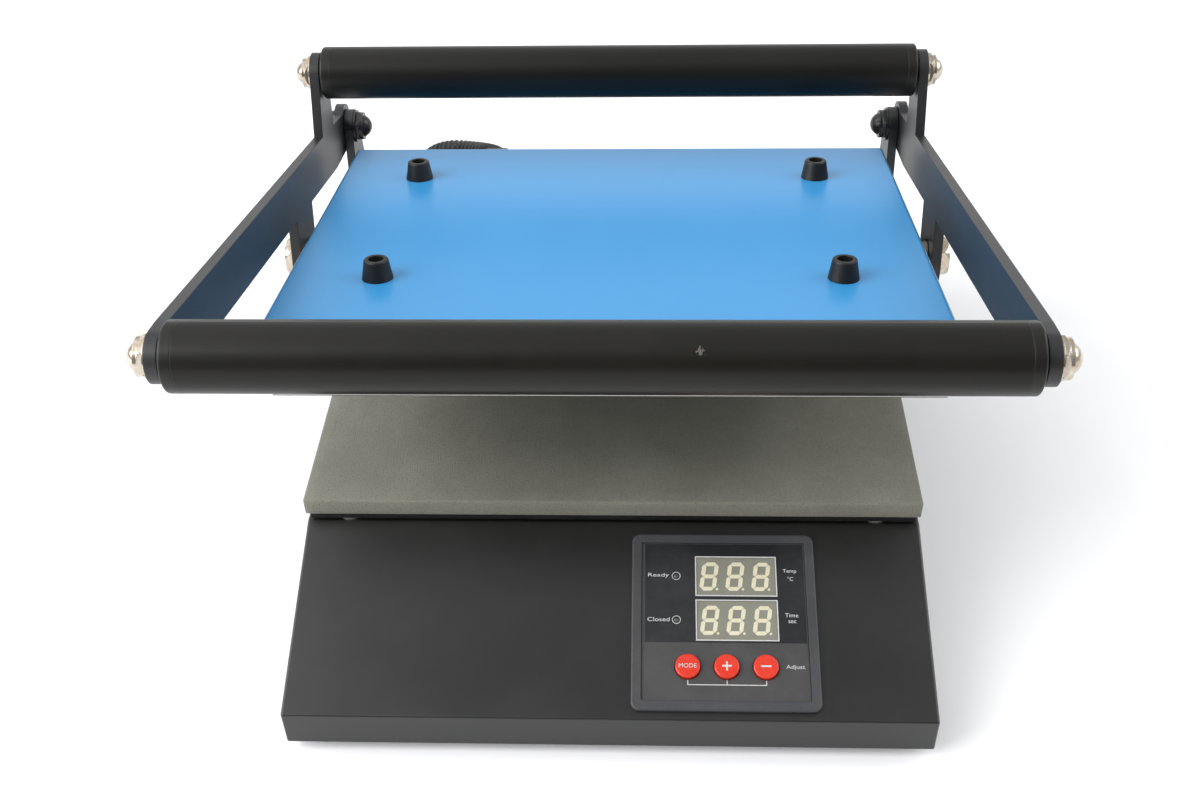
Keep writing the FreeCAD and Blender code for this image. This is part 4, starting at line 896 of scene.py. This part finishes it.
# Painted highlight: inside its ragged edge the coat turns pale grey.
tree.links.new(tint(tree, painted_highlight, coat_colour, (0.10, 0.09, 0.08, 1.0)), shader.inputs["Base Color"])
dress(painted_highlight_coat, "front_roller")
cap_black = make_finish("roller cap", (0.0056, 0.0053, 0.0041), (0.0070, 0.0067, 0.0052), 0.36,
                        grain=0.0006, bump=0.00001, edge=0.0006, patches=0.01, specular=0.3)
dress(cap_black, "front_roller_caps", "rear_roller_caps")
dress(zinc, "front_axle", "rear_axle")
dress(bright_nickel, "axle_washers", "axle_acorn_nuts")


# ---- heater ---------------------------------------------------------------
# Cast aluminium platen, milled all over, with a dark non-stick coat on its
# working face, a sheathed element clamped to its back and four turned posts.
HEATER_UP = (0.0, 0.19252, 0.98129)         # square to the working face
FACE_LEVEL = 0.12333       # working face along that direction

milled = bpy.data.materials.new("milled aluminium")
milled.use_nodes = True
milled.diffuse_color = (0.5, 0.5, 0.5, 1.0)
tree = milled.node_tree
shader = tree.nodes["Principled BSDF"]
spot = place_spot(tree)
passes = add_node(tree, "ShaderNodeTexWave",
                  {"Vector": spot, "Scale": 160.0, "Distortion": 0.6, "Detail": 1.0,
                   "Detail Scale": 2.0}, wave_type="BANDS", bands_direction="X").outputs["Fac"]
skin = place_effect(tree, skin_grain, {"Size": 0.0009, "Patches": 0.05})
edges = place_effect(tree, soft_edges, {"Radius": 0.0006})
paint = tint(tree, skin.outputs["Patch"], (0.44, 0.435, 0.425, 1.0), (0.54, 0.535, 0.52, 1.0))
paint = tint(tree, sums(tree, "MULTIPLY", passes, 0.12), paint, (0.3, 0.3, 0.29, 1.0))
level = add_node(tree, "ShaderNodeVectorMath", {0: spot, 1: HEATER_UP}, operation="DOT_PRODUCT")
bare = ramp(tree, level.outputs["Value"], FACE_LEVEL + 0.0002, FACE_LEVEL + 0.0005)
coat = tint(tree, skin.outputs["Patch"], (0.020, 0.020, 0.019, 1.0), (0.032, 0.031, 0.029, 1.0))
paint = tint(tree, bare, coat, paint)
relief = add_node(tree, "ShaderNodeBump",
                  {"Height": sums(tree, "MULTIPLY_ADD", passes, 0.5, skin.outputs["Height"]),
                   "Distance": 0.00001, "Normal": edges.outputs["Normal"]})
tree.links.new(paint, shader.inputs["Base Color"])
tree.links.new(sums(tree, "MULTIPLY_ADD", skin.outputs["Patch"], 0.12, 0.34),
               shader.inputs["Roughness"])
tree.links.new(relief.outputs["Normal"], shader.inputs["Normal"])
tree.links.new(bare, shader.inputs["Metallic"])
dress(milled, "heater_plate")

sheath = make_finish("heat tinted sheath", (0.36, 0.31, 0.26), (0.24, 0.2, 0.24), 0.36, spread=0.12,
                     grain=0.001, bump=0.00002, metallic=1.0, patches=0.01)
dress(sheath, "heating_element")
dress(zinc, "element_clamps", "temperature_probe", "cover_posts", "cover_foot_screws")


# ---- heater cover and its feet --------------------------------------------
# Pressed steel cover in a satin blue enamel with a fine orange peel, and four
# conical rubber feet on top, each held by a screw sunk in its hole.
blue = make_finish("satin blue enamel", (0.030, 0.240, 0.520), (0.036, 0.254, 0.540), 0.33,
                   spread=0.04, grain=0.0014, bump=0.000010, edge=0.0010, worn=0.2,
                   worn_colour=(0.12, 0.42, 0.85), dust=0.01, wiped=0.2, along=(0.1, 1, 1),
                   patches=0.08)
dress(blue, "heater_cover")
cone_rubber = make_finish("cone rubber", (0.0045, 0.0045, 0.0048), (0.008, 0.008, 0.008), 0.42,
                          grain=0.0006, bump=0.00002, edge=0.0007, worn=0.4,
                          worn_colour=(0.03, 0.03, 0.03), dust=0.015, patches=0.006, specular=0.4)
dress(cone_rubber, "cover_feet")


# ---- heater pivots --------------------------------------------------------
# Nickel plated shoulder bolts through the arms' lugs into the platen's ends,
# with turned spacers, so the heater tips to lie flat.
dress(bright_nickel, "lug_bolts", "lug_spacers")
